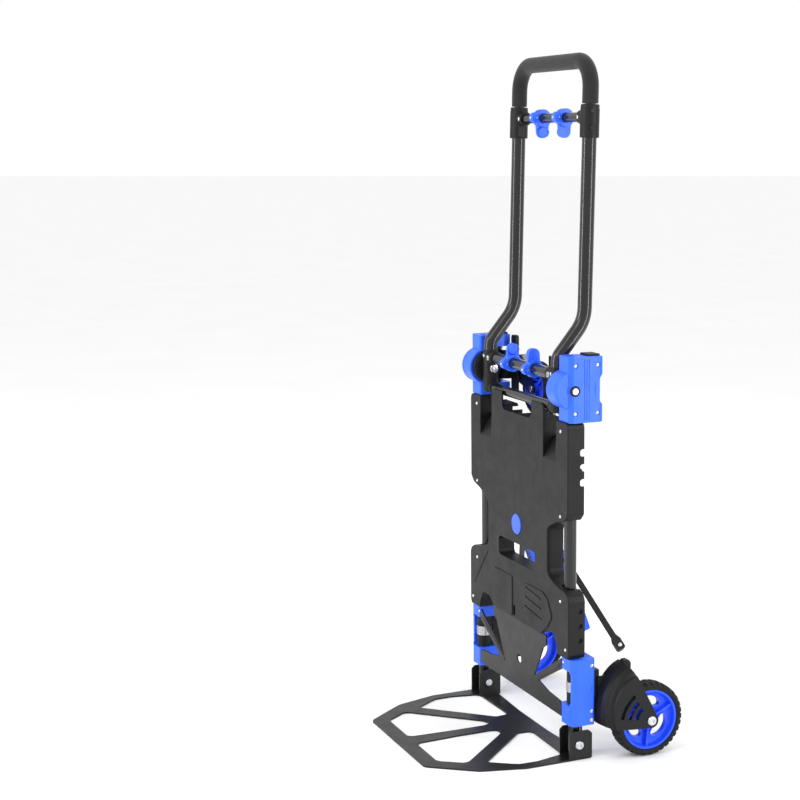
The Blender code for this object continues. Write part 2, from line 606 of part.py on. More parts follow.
# ---------------------------------------------------------------- casters at the top
def caster(s, tag):
    hx, hy = CASTER_HINGE
    ky, kz = KINGPIN
    plan = [(184, 46.5), (171, 46.5), (163.5, 46.5), (159.5, 50), (157.5, 58), (157.5, 65), (157.5, 71), (162, 71), (164, 60), (166, 54), (171, 52.5), (184, 52.5)]
    web = prism([(s * x, y) for x, y in plan], "XY", 624, 678)
    barrels = [lathe([(13, z0), (13, z1)], (s * hx, hy, 0), (0, 0, 1), steps=16) for z0, z1 in ((617.2, 640.6), (660.9, 684.8))]
    add(web, *barrels)
    cut(web, rod((s * hx, hy, 600), (s * hx, hy, 700), 5.5, steps=12))
    cut(web, block(s * 172.5, s * 199, 26, 53.5, 640.6, 660.9))
    strap = prism([(140, 65), (160, 65), (160, 72), (140, 72)] if s > 0 else [(-160, 65), (-140, 65), (-140, 72), (-160, 72)], "XY", 595.5, 707.5)
    add(web, strap)
    housing = lathe([(13, 129.5), (13, 141), (0, 141)], (0, ky, kz), (s, 0, 0), steps=16)
    collar = lathe([(17, 123.5), (17, 130), (0, 130)], (0, ky, kz), (s, 0, 0), steps=20)
    add(web, housing, collar)
    tidy(web)
    finish(web, "caster_leaf_" + tag, BLACK, (s * hx, hy, 0))
    # fork: base against the kingpin collar and two cheeks round the wheel
    base = prism([(ky - 15.4, 622), (ky + 15.4, 622), (ky + 15.4, 674), (ky - 15.4, 674)], "YZ", min(s * 119.4, s * 122.4), max(s * 119.4, s * 122.4))
    cx, cz = CASTER_C[0], CASTER_C[2]
    front = prism(mirror_points([(122.4, 622), (122.4, 674), (114, 674), (72, 634)] + arc(cx, cz, 11, 100, 260, 6) + [(100, 616)], s), "XZ", ky - 15.4, ky - 13.2)
    rear = prism(mirror_points([(122.4, 622), (122.4, 674), (114, 674), (72, 634), (46, 630), (44, 626), (44, 610), (50, 606), (66, 605), (100, 616)], s), "XZ", ky + 13.2, ky + 15.4)
    add(base, front, rear)
    cut(base, rod((s * cx, 50, cz), (s * cx, 110, cz), 4.5, steps=8))
    stop_bar = prism([(s * x, y) for x, y in ((40, ky + 15), (57, ky + 15), (57, ky + 21), (54, ky + 23), (43, ky + 23), (40, ky + 21))], "XY", 558, 677)
    add(base, stop_bar)
    slots = [block(s * 45.5, s * 51.5, ky + 10, ky + 30, z0, z1) for z0, z1 in ((562, 574), (661, 673))]
    cut(base, *slots)
    tidy(base)
    finish(base, "caster_fork_" + tag, PAINT, (0, ky, kz))
    axle = lathe([(0, ky - 17.4), (6, ky - 17.4), (6, ky - 15.7), (4.1, ky - 15.7), (4.1, ky + 15.7), (7, ky + 15.7), (7, ky + 18.4), (6, ky + 19.2), (0, ky + 19.2)],
                 (s * cx, 0, cz), (0, 1, 0), steps=12)
    finish(axle, "caster_axle_" + tag, STEEL, (0, ky, kz))
    c = (s * cx, CASTER_C[1], cz)
    wheel(c, (0, 1, 0), CASTER_R, CASTER_RIM_R, CASTER_W, ("caster_tyre_" + tag, "caster_rim_" + tag), 9.0, 4.0, 18, c, 140 if s < 0 else 40)


both(caster)


# ---------------------------------------------------------------- folding handle
piv = (0, PIVOT[0], PIVOT[1])


def handle_side(s, tag):
    arm = lathe([(12.5, 605), (ARM_R, 607), (ARM_R, 684)], (s * ARM_X, PIVOT[0], 0), (0, 0, 1), steps=18)
    hub = lathe([(27, 159.6), (28, 158.4), (28, 151), (0, 151)], (0, PIVOT[0], PIVOT[1]), (s, 0, 0), steps=22)
    add(arm, hub)
    cut(arm, rod((s * 110, PIVOT[0], PIVOT[1]), (s * 170, PIVOT[0], PIVOT[1]), 5.6, steps=12))
    tidy(arm)
    finish(arm, "handle_arm_" + tag, BLACK, piv)
    path = corner_path([(s * ARM_X, PIVOT[0], 684.3), (s * ARM_X, PIVOT[0], BEND_LOW), (s * ARM_X, Y_HIGH, BEND_HIGH), (s * ARM_X, lean(1128.5), 1128.5)], [22, 60], 3)
    tube = sweep(path, HANDLE_R, steps=14, bore=HANDLE_BORE)
    finish(tube, "handle_tube_" + tag, PAINT, piv)
    a, b = Vector((s * ARM_X, lean(1073), 1073)), Vector((s * ARM_X, lean(1129), 1129))
    length = (b - a).length
    collar = lathe([(12.9, 0), (16.5, 0), (16.5, length - 1.5), (15, length), (12.9, length)], a, b - a, steps=16, ring=True)
    finish(collar, "handle_collar_" + tag, BLACK, piv)


both(handle_side)

bar_low = rod((-125.4, PIVOT[0], 614), (125.4, PIVOT[0], 614), 8.5, steps=20)
finish(bar_low, "handle_bar_low", PAINT, piv)
bar_mid = rod((-125.4, PIVOT[0], 670), (125.4, PIVOT[0], 670), 10, steps=20)
finish(bar_mid, "handle_bar_mid", PAINT, piv)
bar_top = rod((-123.2, lean(1108), 1108), (123.2, lean(1108), 1108), 8.5, steps=20)
finish(bar_top, "handle_bar_top", PAINT, piv)


# ---------------------------------------------------------------- telescoping grip
foam_z = TOP - FOAM_R
ring_path = corner_path([(-ARM_X, lean(1129.6), 1129.6), (-ARM_X, lean(foam_z), foam_z), (ARM_X, lean(foam_z), foam_z), (ARM_X, lean(1129.6), 1129.6)], 46, 4)
foam = sweep(ring_path, FOAM_R, steps=14, bore=GRIP_R + 0.4)
finish(foam, "grip_foam", FOAM, (0, lean(1129.6), 1129.6))
ring_path = corner_path([(-ARM_X, lean(862), 862), (-ARM_X, lean(foam_z), foam_z), (ARM_X, lean(foam_z), foam_z), (ARM_X, lean(862), 862)], 46, 4)
inner = sweep(ring_path, GRIP_R, steps=12)
finish(inner, "grip_tube", PAINT, (0, lean(1129.6), 1129.6))


# ---------------------------------------------------------------- thumb levers on the two cross bars
def thumb(s, tag, z, bar_r, up, name):
    y = PIVOT[0] if up > 0 else lean(z)
    if up > 0:
        pts = arc(y, z, 16, 160, 380, 10) + [(y + 12, z + 14)] + arc(y, z + 25, 11, 0, 180, 6) + [(y - 12, z + 14)]
    else:
        pts = arc(y, z, 16, -20, 200, 10) + [(y - 12, z - 14)] + arc(y, z - 24, 11, 180, 360, 6) + [(y + 12, z - 14)]
    lo, hi = sorted((s * 38, s * 52))
    body = prism(pts, "YZ", lo, hi, bevel=0.0)
    paddle = prism(arc(y, z + up * 23, 8.5, 0, 360, 10)[:-1], "YZ", min(s * 34, s * 40), max(s * 34, s * 40))
    lobe = prism(arc(y - 13, z - up * 1.0, 10, 0, 360, 10)[:-1], "YZ", min(s * 36, s * 50), max(s * 36, s * 50))
    add(body, paddle, lobe)
    cut(body, rod((s * 20, y, z), (s * 70, y, z), bar_r + 0.5, steps=16))
    tidy(body)
    finish(body, name + "_" + tag, BLUE, (0, y, z))


for s, tag in ((1, "R"), (-1, "L")):
    thumb(s, tag, 670.0, 10.0, 1, "fold_latch")
    thumb(s, tag, 1108.0, 8.5, -1, "height_latch")


# ---------------------------------------------------------------- folding nose plate
hy, hz = NOSE_HINGE
half = [(0, -237), (124, -237), (131, -234), (187, -162), (190, -156), (212, -80), (212, 46), (171.5, 46), (171.5, 40), (60, 34), (0, 34)]
outline = [(x, y) for x, y in half] + [(-x, y) for x, y in reversed(half[1:-1])]
nose = prism(outline, "XY", 0.0, NOSE_T)
holes = []
for s in (1, -1):
    for pts in ([(158, -132), (184, -96), (191, -84), (192, -50), (181, -2), (172, 5), (60, 7), (50, 2), (48, -20)],
                [(112, -208), (120, -202), (144, -169), (142, -158), (40, -52), (30, -47), (18, -48), (14, -60), (14, -120), (18, -200), (24, -208)]):
        holes.append(prism([(s * x, y) for x, y in pts], "XY", -3, 6))
cut(nose, *holes)
for s in (1, -1):
    for x0, x1 in ((171.4, 174.4), (209.0, 212.0)):
        cheek = prism([(2, 1.5), (46, 1.5), (46, 46), (40, 52), (8, 52), (2, 46)], "YZ", min(s * x0, s * x1), max(s * x0, s * x1))
        add(nose, cheek)
    cut(nose, rod((s * 160, hy, hz), (s * 225, hy, hz), 4.4, steps=16))
tidy(nose)
finish(nose, "nose_plate", PLATE, (0, hy, hz))


def nose_bolt(s, tag):
    bolt = lathe([(0, 168.4), (6.5, 168.4), (6.5, 171.1), (4.1, 171.1), (4.1, 212.3), (8, 212.3), (8, 214.6), (6.8, 215.6), (0, 215.6)], (0, hy, hz), (s, 0, 0), steps=12)
    finish(bolt, "nose_hinge_bolt_" + tag, STEEL)


both(nose_bolt)
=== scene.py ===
"""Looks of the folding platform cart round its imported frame: detailed shells, screws, treads and procedural materials.

Lengths are in millimetres while a piece is modelled and metres once it is placed. y is measured from the deck's front
plane until a piece is placed.
"""
import math
from math import sin, cos, pi, radians, sqrt

import bpy
import bmesh
from mathutils import Vector, Matrix


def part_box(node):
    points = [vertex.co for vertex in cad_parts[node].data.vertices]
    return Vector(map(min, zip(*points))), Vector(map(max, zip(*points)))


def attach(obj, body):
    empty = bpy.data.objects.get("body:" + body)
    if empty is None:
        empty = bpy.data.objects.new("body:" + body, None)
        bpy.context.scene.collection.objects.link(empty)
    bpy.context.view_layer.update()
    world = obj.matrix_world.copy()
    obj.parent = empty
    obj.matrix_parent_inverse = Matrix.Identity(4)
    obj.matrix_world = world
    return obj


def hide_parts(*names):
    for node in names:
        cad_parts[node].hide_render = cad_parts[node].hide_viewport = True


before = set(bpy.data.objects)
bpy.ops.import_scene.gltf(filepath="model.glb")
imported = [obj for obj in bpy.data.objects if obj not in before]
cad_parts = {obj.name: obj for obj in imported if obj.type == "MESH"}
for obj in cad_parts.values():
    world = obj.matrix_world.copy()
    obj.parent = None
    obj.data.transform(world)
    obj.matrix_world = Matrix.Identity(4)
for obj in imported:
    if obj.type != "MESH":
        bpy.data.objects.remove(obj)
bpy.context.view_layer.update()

# ---------------------------------------------------------------- places, read from the frame (mm)
tube_lo, tube_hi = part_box("side_tube_R")
TUBE_R, TUBE_X, TUBE_Y, FOOT_X = 11.0, 174.0, 21.0, 192.0
plate_lo, plate_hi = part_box("cross_plate")
Y_SHIFT = plate_lo.y * 1000 - 5.0
rim_lo, rim_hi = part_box("road_rim_R")
WHEEL_C = (round((rim_lo.x + rim_hi.x) * 500, 2), (rim_lo.y + rim_hi.y) * 500 - Y_SHIFT, (rim_lo.z + rim_hi.z) * 500)
rim_lo, rim_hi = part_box("caster_rim_R")
CASTER_C = ((rim_lo.x + rim_hi.x) * 500, (rim_lo.y + rim_hi.y) * 500 - Y_SHIFT, (rim_lo.z + rim_hi.z) * 500)
DECK_T, SKIN, DECK_TOP, DECK_BOTTOM = 32.0, 3.0, 617.0, 181.3
WING_X, LOW_WING_X, WAIST_X = 204.0, 209.0, 126.0
NOSE_HINGE = (21.0, 27.0)
WHEEL_R, RIM_R, WHEEL_W = 66.0, 54.0, 34.0
CASTER_R, CASTER_RIM_R, CASTER_W = 50.5, 40.5, 24.0
KINGPIN = (78.0, 652.0)
CASTER_HINGE = (184.0, 41.5)
PIVOT = (13.0, 650.0)
ARM_X, ARM_R = 140.0, 14.25
HANDLE_R, HANDLE_BORE = 12.5, 9.4
BEND_LOW, BEND_HIGH, TOP = 700.0, 762.0, 1217.0
Y_HIGH, Y_TOP = 64.0, 73.0
FOAM_R, GRIP_R = 14.0, 9.0
LEVER_PIVOT = (46.0, 352.0)
LEVER_TILT = 20.0
ROD_X, ROD_PIN_R = 90.0, 27.36
ROD_END = (216.0, 109.0, 178.0)
GAP = 0.3


# ---------------------------------------------------------------- procedural materials
def shader(name):
    m = bpy.data.materials.new(name)
    m.use_nodes = True
    nt = m.node_tree
    return m, nt, nt.nodes["Principled BSDF"]


def noise(nt, scale, detail=3.0, rough=0.5, stretch=None, kind="noise"):
    tc = nt.nodes.new("ShaderNodeTexCoord")
    mp = nt.nodes.new("ShaderNodeMapping")
    if stretch:
        mp.inputs["Scale"].default_value = stretch
    nt.links.new(tc.outputs["Object"], mp.inputs["Vector"])
    if kind == "voronoi":
        t = nt.nodes.new("ShaderNodeTexVoronoi")
        t.inputs["Scale"].default_value = scale
        nt.links.new(mp.outputs["Vector"], t.inputs["Vector"])
        return t.outputs["Distance"]
    t = nt.nodes.new("ShaderNodeTexNoise")
    t.inputs["Scale"].default_value = scale
    t.inputs["Detail"].default_value = detail
    t.inputs["Roughness"].default_value = rough
    nt.links.new(mp.outputs["Vector"], t.inputs["Vector"])
    return t.outputs["Fac"]


def remap(nt, value, a, b, lo=0.3, hi=0.7):
    n = nt.nodes.new("ShaderNodeMapRange")
    n.inputs["From Min"].default_value = lo
    n.inputs["From Max"].default_value = hi
    n.inputs["To Min"].default_value = a
    n.inputs["To Max"].default_value = b
    nt.links.new(value, n.inputs["Value"])
    return n.outputs["Result"]


def blend_colour(nt, fac, a, b):
    n = nt.nodes.new("ShaderNodeMix")
    n.data_type = "RGBA"
    if fac is not None:
        nt.links.new(fac, n.inputs[0])
    for socket, value in ((n.inputs[6], a), (n.inputs[7], b)):
        if isinstance(value, tuple):
            socket.default_value = (*value, 1.0)
        else:
            nt.links.new(value, socket)
    return n.outputs[2]


def times(nt, a, b):
    n = nt.nodes.new("ShaderNodeMath")
    n.operation = "MULTIPLY"
    nt.links.new(a, n.inputs[0])
    if isinstance(b, float):
        n.inputs[1].default_value = b
    else:
        nt.links.new(b, n.inputs[1])
    return n.outputs[0]


def edge_mask(nt, radius):
    """1 on corners and 0 on flats: how far the rounded normal turns from the true one."""
    bev = nt.nodes.new("ShaderNodeBevel")
    bev.samples = 4
    bev.inputs["Radius"].default_value = radius
    geo = nt.nodes.new("ShaderNodeNewGeometry")
    dot = nt.nodes.new("ShaderNodeVectorMath")
    dot.operation = "DOT_PRODUCT"
    nt.links.new(bev.outputs["Normal"], dot.inputs[0])
    nt.links.new(geo.outputs["Normal"], dot.inputs[1])
    return remap(nt, dot.outputs["Value"], 1.0, 0.0, 0.72, 0.97)


def bump_chain(nt, bsdf, layers):
    """layers: (height socket, depth in metres, strength)."""
    normal = None
    for height, depth, strength in layers:
        n = nt.nodes.new("ShaderNodeBump")
        n.inputs["Strength"].default_value = strength
        n.inputs["Distance"].default_value = depth
        nt.links.new(height, n.inputs["Height"])
        if normal is not None:
            nt.links.new(normal, n.inputs["Normal"])
        normal = n.outputs["Normal"]
    nt.links.new(normal, bsdf.inputs["Normal"])


def surface(name, dark, light, edge_highlight, edge_highlight_amount, rough, grain, mottle=14.0, metal=0.0, coat=0.0, coat_rough=0.2, sheen=0.0, ior=1.5,
            stretch=None, specular=0.5):
    """dark/light: mottled colours. Fifth and sixth arguments: painted highlight, a lighter colour and its strength laid
    along corners in patches. rough: (low, high). grain: ((scale, depth, strength, kind), ...).
    """
    m, nt, b = shader(name)
    base = blend_colour(nt, remap(nt, noise(nt, mottle, 5.0, 0.6), 0.0, 1.0), dark, light)
    fine = blend_colour(nt, remap(nt, noise(nt, 420.0, 2.0), 0.0, 0.35), base, light)
    colour = fine
    # painted highlight: corners found by the Bevel-node mask are lightened towards the highlight colour in noisy
    # patches
    if edge_highlight_amount > 0:
        edge = times(nt, edge_mask(nt, 0.0011), remap(nt, noise(nt, 90.0, 6.0, 0.7), 0.25 * edge_highlight_amount, edge_highlight_amount, 0.35, 0.62))
        colour = blend_colour(nt, edge, fine, edge_highlight)
    nt.links.new(colour, b.inputs["Base Color"])
    nt.links.new(remap(nt, noise(nt, 38.0, 6.0, 0.65, stretch), rough[0], rough[1]), b.inputs["Roughness"])
    b.inputs["Metallic"].default_value = metal
    b.inputs["IOR"].default_value = ior
    b.inputs["Specular IOR Level"].default_value = specular
    b.inputs["Coat Weight"].default_value = coat
    b.inputs["Coat Roughness"].default_value = coat_rough
    b.inputs["Sheen Weight"].default_value = sheen
    b.inputs["Sheen Roughness"].default_value = 0.5
    bump_chain(nt, b, [(noise(nt, s, 2.0, 0.5, stretch, kind), d, st) for s, d, st, kind in grain])
    return m


# fifth and sixth values of each surface: the painted edge highlight colour and its strength
MATS = {
    "black_plastic": surface("black_plastic", (0.0060, 0.0060, 0.0065), (0.0096, 0.0096, 0.0102), (0.050, 0.050, 0.052), 0.65, (0.40, 0.54),
                             ((1100.0, 0.00010, 0.30, "voronoi"), (330.0, 0.00008, 0.15, "noise")), specular=0.21),
    "blue_plastic": surface("blue_plastic", (0.020, 0.110, 0.90), (0.027, 0.140, 0.98), (0.10, 0.25, 1.0), 0.5, (0.32, 0.44),
                            ((900.0, 0.00005, 0.14, "voronoi"), (210.0, 0.00008, 0.10, "noise")), coat=0.05, coat_rough=0.25, specular=0.30),
    "rim_blue": surface("rim_blue", (0.014, 0.072, 0.84), (0.019, 0.095, 0.95), (0.07, 0.20, 0.98), 0.5, (0.28, 0.42),
                        ((900.0, 0.00005, 0.14, "voronoi"), (160.0, 0.00010, 0.10, "noise")), coat=0.08, coat_rough=0.22, specular=0.30),
    "black_tube": surface("black_tube", (0.0032, 0.0032, 0.0034), (0.0050, 0.0050, 0.0054), (0.05, 0.05, 0.05), 0.0, (0.24, 0.32),
                          ((900.0, 0.00002, 0.12, "noise"),), coat=0.45, coat_rough=0.11, specular=0.30),
    "black_steel": surface("black_steel", (0.0052, 0.0052, 0.0057), (0.0088, 0.0088, 0.0094), (0.10, 0.098, 0.095), 0.5, (0.34, 0.46),
                           ((760.0, 0.00006, 0.25, "noise"), (120.0, 0.00008, 0.10, "noise")), coat=0.08, coat_rough=0.3, specular=0.28),
    "tyre_rubber": surface("tyre_rubber", (0.0065, 0.0065, 0.0068), (0.0125, 0.0122, 0.0118), (0.05, 0.048, 0.046), 0.55, (0.64, 0.82),
                           ((640.0, 0.00014, 0.40, "noise"), (150.0, 0.00016, 0.2, "noise")), specular=0.24),
    "grip_foam": surface("grip_foam", (0.0130, 0.0130, 0.0136), (0.0200, 0.0200, 0.0208), (0.04, 0.04, 0.04), 0.0, (0.80, 0.94),
                         ((1500.0, 0.00026, 0.55, "voronoi"), (520.0, 0.00016, 0.3, "noise")), sheen=0.18, specular=0.18),
    "bright_steel": surface("bright_steel", (0.46, 0.47, 0.49), (0.64, 0.65, 0.67), (0.85, 0.85, 0.86), 0.3, (0.18, 0.36),
                            ((520.0, 0.00005, 0.25, "noise"), (180.0, 0.00004, 0.15, "noise")), metal=1.0, stretch=(1.0, 1.0, 0.18)),
    "badge_blue": surface("badge_blue", (0.020, 0.100, 0.84), (0.026, 0.125, 0.93), (0.22, 0.36, 0.98), 0.9, (0.26, 0.36),
                          ((700.0, 0.00004, 0.12, "noise"),), coat=0.15, coat_rough=0.12, specular=0.3),
}
BLACK = MATS["black_plastic"]
RIM = MATS["rim_blue"]
PLATE = MATS["black_steel"]



# ---------------------------------------------------------------- small modelling kit
def mesh_object(name, bm, mat):
    bmesh.ops.remove_doubles(bm, verts=bm.verts, dist=0.002)
    bmesh.ops.recalc_face_normals(bm, faces=bm.faces)
    mesh = bpy.data.meshes.new(name)
    bm.to_mesh(mesh)
    bm.free()
    obj = bpy.data.objects.new(name, mesh)
    bpy.context.scene.collection.objects.link(obj)
    mesh.materials.append(mat)
    return obj


def to_world(u, v, w, plane):
    return {"XZ": (u, w, v), "YZ": (w, u, v), "XY": (u, v, w)}[plane]


def prism(points, plane, lo, hi, name="p", mat=None, bevel=0.0, segments=2):
    """Polygon (u, v) in a plane, extruded from lo to hi along the third axis."""
    bm = bmesh.new()
    low = [bm.verts.new(to_world(u, v, lo, plane)) for u, v in points]
    high = [bm.verts.new(to_world(u, v, hi, plane)) for u, v in points]
    n = len(points)
    bm.faces.new(low)
    bm.faces.new(high)
    for i in range(n):
        bm.faces.new((low[i], low[(i + 1) % n], high[(i + 1) % n], high[i]))
    bmesh.ops.recalc_face_normals(bm, faces=bm.faces)
    if bevel:
        bmesh.ops.bevel(bm, geom=list(bm.edges), offset=bevel, segments=segments, affect="EDGES", profile=0.5)
    return mesh_object(name, bm, mat or BLACK)


def block(x0, x1, y0, y1, z0, z1, name="b", mat=None, bevel=0.0, segments=2):
    x0, x1 = min(x0, x1), max(x0, x1)
    return prism([(x0, y0), (x1, y0), (x1, y1), (x0, y1)], "XY", z0, z1, name, mat, bevel, segments)


def frame_for(direction):
    d = Vector(direction).normalized()
    helper = Vector((0, 0, 1)) if abs(d.z) < 0.9 else Vector((1, 0, 0))
    u = d.cross(helper).normalized()
    return d, u, d.cross(u).normalized()


def lathe(profile, centre, direction, name="l", mat=None, steps=24, ring=False, turn=0.0):
    """Revolve (r, s) points about an axis; s is measured from centre. ring: the profile closes on itself."""
    d, u, v = frame_for(direction)
    c = Vector(centre)
    bm = bmesh.new()
    rows = []
    for r, s in profile:
        if r < 1e-6:
            rows.append([bm.verts.new(c + d * s)])
        else:
            rows.append([bm.verts.new(c + d * s + (u * cos(2 * pi * (k + turn) / steps) + v * sin(2 * pi * (k + turn) / steps)) * r)
                         for k in range(steps)])
    pairs = list(zip(rows, rows[1:])) + ([(rows[-1], rows[0])] if ring else [])
    for a, b in pairs:
        for k in range(steps):
            j = (k + 1) % steps
            if len(a) == 1 and len(b) == 1:
                continue
            if len(a) == 1:
                bm.faces.new((a[0], b[k], b[j]))
            elif len(b) == 1:
                bm.faces.new((a[k], b[0], a[j]))
            else:
                bm.faces.new((a[k], b[k], b[j], a[j]))
    if not ring:
        if len(rows[0]) > 1:
            bm.faces.new(rows[0])
        if len(rows[-1]) > 1:
            bm.faces.new(rows[-1])
    obj = mesh_object(name, bm, mat or BLACK)
    return obj


def rod(p, q, r, name="r", mat=None, steps=24, chamfer=0.0):
    p, q = Vector(p), Vector(q)
    length = (q - p).length
    c = chamfer
    profile = [(r - c, 0), (r, c), (r, length - c), (r - c, length)] if c else [(r, 0), (r, length)]
    return lathe(profile, p, q - p, name, mat, steps)


def corner_path(points, radius, steps=5):
    """Polyline with its inner corners rounded."""
    pts = [Vector(p) for p in points]
    out = [pts[0]]
    radii = radius if isinstance(radius, (list, tuple)) else [radius] * (len(pts) - 2)
    for a, b, c, r in zip(pts, pts[1:], pts[2:], radii):
        u, w = (a - b).normalized(), (c - b).normalized()
        angle = u.angle(w)
        turn = pi - angle
        if turn < 1e-3:
            continue
        cut = r * math.tan(turn / 2)
        centre = b + (u + w).normalized() * (r / cos(turn / 2))
        start = b + u * cut - centre
        axis = start.cross(b + w * cut - centre).normalized()
        for k in range(steps + 1):
            out.append(centre + Matrix.Rotation(turn * k / steps, 3, axis) @ start)
    out.append(pts[-1])
    return out


def sweep(path, r, name="s", mat=None, steps=16, bore=0.0):
    """Round bar or tube along a path, with mitred stations."""
    path = [Vector(p) for p in path]
    d0, u, v = frame_for(path[1] - path[0])
    bm = bmesh.new()
    outer, inner = [], []
    for i, p in enumerate(path):
        before = (path[i] - path[i - 1]).normalized() if i else (path[1] - path[0]).normalized()
        after = (path[i + 1] - path[i]).normalized() if i < len(path) - 1 else before
        tangent = (before + after).normalized()
        u = (u - tangent * u.dot(tangent)).normalized()
        v = tangent.cross(u).normalized()
        stretch = 1.0 / max(0.5, tangent.dot(before))
        bend = (after - before)
        b = bend.normalized() if bend.length > 1e-6 else None

        def ring_at(radius):
            verts = []
            for k in range(steps):
                a = 2 * pi * k / steps
                o = (u * cos(a) + v * sin(a)) * radius
                if b is not None:
                    bb = (b - tangent * b.dot(tangent)).normalized()
                    o += bb * o.dot(bb) * (stretch - 1.0)
                verts.append(bm.verts.new(p + o))
            return verts
        outer.append(ring_at(r))
        if bore:
            inner.append(ring_at(bore))
    for rows in (outer, inner):
        for a, c in zip(rows, rows[1:]):
            for k in range(steps):
                j = (k + 1) % steps
                bm.faces.new((a[k], a[j], c[j], c[k]))
    if bore:
        for a, c in ((outer[0], inner[0]), (outer[-1], inner[-1])):
            for k in range(steps):
                j = (k + 1) % steps
                bm.faces.new((a[k], a[j], c[j], c[k]))
    else:
        bm.faces.new(outer[0])
        bm.faces.new(outer[-1])
    return mesh_object(name, bm, mat or BLACK)


def boolean(obj, others, operation):
    for other in others:
        mod = obj.modifiers.new("b", "BOOLEAN")
        mod.operation = operation
        mod.solver = "EXACT"
        mod.object = other
        graph = bpy.context.evaluated_depsgraph_get()
        fresh = bpy.data.meshes.new_from_object(obj.evaluated_get(graph))
        obj.modifiers.clear()
        obj.data = fresh
        bpy.data.objects.remove(other, do_unlink=True)
    return obj


def cut(obj, *others):
    return boolean(obj, others, "DIFFERENCE")


def add(obj, *others):
    return boolean(obj, others, "UNION")


def keep(obj, other):
    return boolean(obj, [other], "INTERSECT")


def tidy(obj, flat=0.35):
    """Merge what a Boolean leaves, drop flat edges, and split faces with more than four corners into triangles."""
    bm = bmesh.new()
    bm.from_mesh(obj.data)
    bmesh.ops.remove_doubles(bm, verts=bm.verts, dist=0.004)
    bmesh.ops.dissolve_degenerate(bm, edges=bm.edges, dist=0.004)
    bmesh.ops.dissolve_limit(bm, angle_limit=radians(flat), verts=bm.verts, edges=bm.edges)
    bmesh.ops.triangulate(bm, faces=[f for f in bm.faces if len(f.verts) > 4])
    bmesh.ops.recalc_face_normals(bm, faces=bm.faces)
    bm.to_mesh(obj.data)
    bm.free()
    return obj




def both(build):
    """Run a builder for the right side (+x) and the left side (-x)."""
    for side, tag in ((1, "R"), (-1, "L")):
        build(side, tag)


def mirror_points(points, side):
    return [(side * x, z) for x, z in points]


def arc(cx, cy, r, a0, a1, n):
    return [(cx + r * cos(radians(a0 + (a1 - a0) * k / n)), cy + r * sin(radians(a0 + (a1 - a0) * k / n))) for k in range(n + 1)]


def lean(z):
    """Depth of the leaning upper handle tube at height z."""
    return Y_HIGH + (z - BEND_HIGH) * (Y_TOP - Y_HIGH) / (1129.0 - BEND_HIGH)





def soft(points, radius, n=4):
    """Closed polygon with every corner rounded; radius is one number or one for each corner."""
    count = len(points)
    radii = list(radius) if isinstance(radius, (list, tuple)) else [radius] * count
    out = []
    for i in range(count):
        p, q, r = Vector(points[i - 1]), Vector(points[i]), Vector(points[(i + 1) % count])
        u, w = (p - q), (r - q)
        lu, lw = u.length, w.length
        if radii[i] <= 0 or lu < 1e-6 or lw < 1e-6:
            out.append(tuple(q))
            continue
        u, w = u / lu, w / lw
        angle = max(1e-4, min(pi - 1e-4, u.angle(w)))
        reach = min(radii[i] / math.tan(angle / 2), 0.46 * lu, 0.46 * lw)
        if pi - angle < 0.05:
            out.append(tuple(q))
            continue
        a, b = q + u * reach, q + w * reach
        for k in range(n + 1):
            t = k / n
            # quarter-like conic through a, q, b
            s = (1 - t) ** 2 + 1.3 * t * (1 - t) + t * t
            out.append(tuple(((1 - t) ** 2 * a + 1.3 * t * (1 - t) * q + t * t * b) / s))
    return out


def front_edges_bevel(obj, test, offset, segments, profile=0.5):
    bm = bmesh.new()
    bm.from_mesh(obj.data)
    edges = [e for e in bm.edges if all(test(v.co) for v in e.verts)]
    bmesh.ops.bevel(bm, geom=edges, offset=offset, segments=segments, affect="EDGES", profile=profile, clamp_overlap=True)
    bm.to_mesh(obj.data)
    bm.free()
    return obj


def clean(obj, flat=0.3):
    bm = bmesh.new()
    bm.from_mesh(obj.data)
    bmesh.ops.remove_doubles(bm, verts=bm.verts, dist=0.01)
    bmesh.ops.dissolve_degenerate(bm, edges=bm.edges, dist=0.01)
    bmesh.ops.dissolve_limit(bm, angle_limit=radians(flat), verts=bm.verts, edges=bm.edges)
    bmesh.ops.recalc_face_normals(bm, faces=bm.faces)
    bm.to_mesh(obj.data)
    bm.free()
    return obj


def place(obj, name, slot, body, replaces=(), bevel=0.0, segments=2, smooth=35.0, angle=30.0, tidy_up=True):
    """Round the edges, turn millimetres into metres in the row frame, and hang the piece on its body."""
    if tidy_up:
        clean(obj)
    obj.name = name
    obj.data.name = name
    obj.data.materials.clear()
    obj.data.materials.append(MATS[slot])
    for vert in obj.data.vertices:
        vert.co = Vector((vert.co.x, vert.co.y + Y_SHIFT, vert.co.z)) * 0.001
    for face in obj.data.polygons:
        face.material_index = 0
    if bevel:
        mod = obj.modifiers.new("edges", "BEVEL")
        mod.width = bevel * 0.001
        mod.segments = segments
        mod.limit_method = "ANGLE"
        mod.angle_limit = radians(angle)
        mod.use_clamp_overlap = True
        mod.harden_normals = False
        mod.miter_outer = "MITER_ARC"
        graph = bpy.context.evaluated_depsgraph_get()
        fresh = bpy.data.meshes.new_from_object(obj.evaluated_get(graph))
        obj.modifiers.clear()
        obj.data = fresh
    bm = bmesh.new()
    bm.from_mesh(obj.data)
    bmesh.ops.remove_doubles(bm, verts=bm.verts, dist=0.000004)
    for face in bm.faces:
        face.smooth = True
    for edge in bm.edges:
        edge.smooth = len(edge.link_faces) == 2 and edge.calc_face_angle(0.0) < radians(smooth)
    bm.to_mesh(obj.data)
    bm.free()
    mod = obj.modifiers.new("shade", "WEIGHTED_NORMAL")
    mod.keep_sharp = True
    mod.weight = 80
    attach(obj, body)
    for node in replaces:
        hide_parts(node)
    return obj


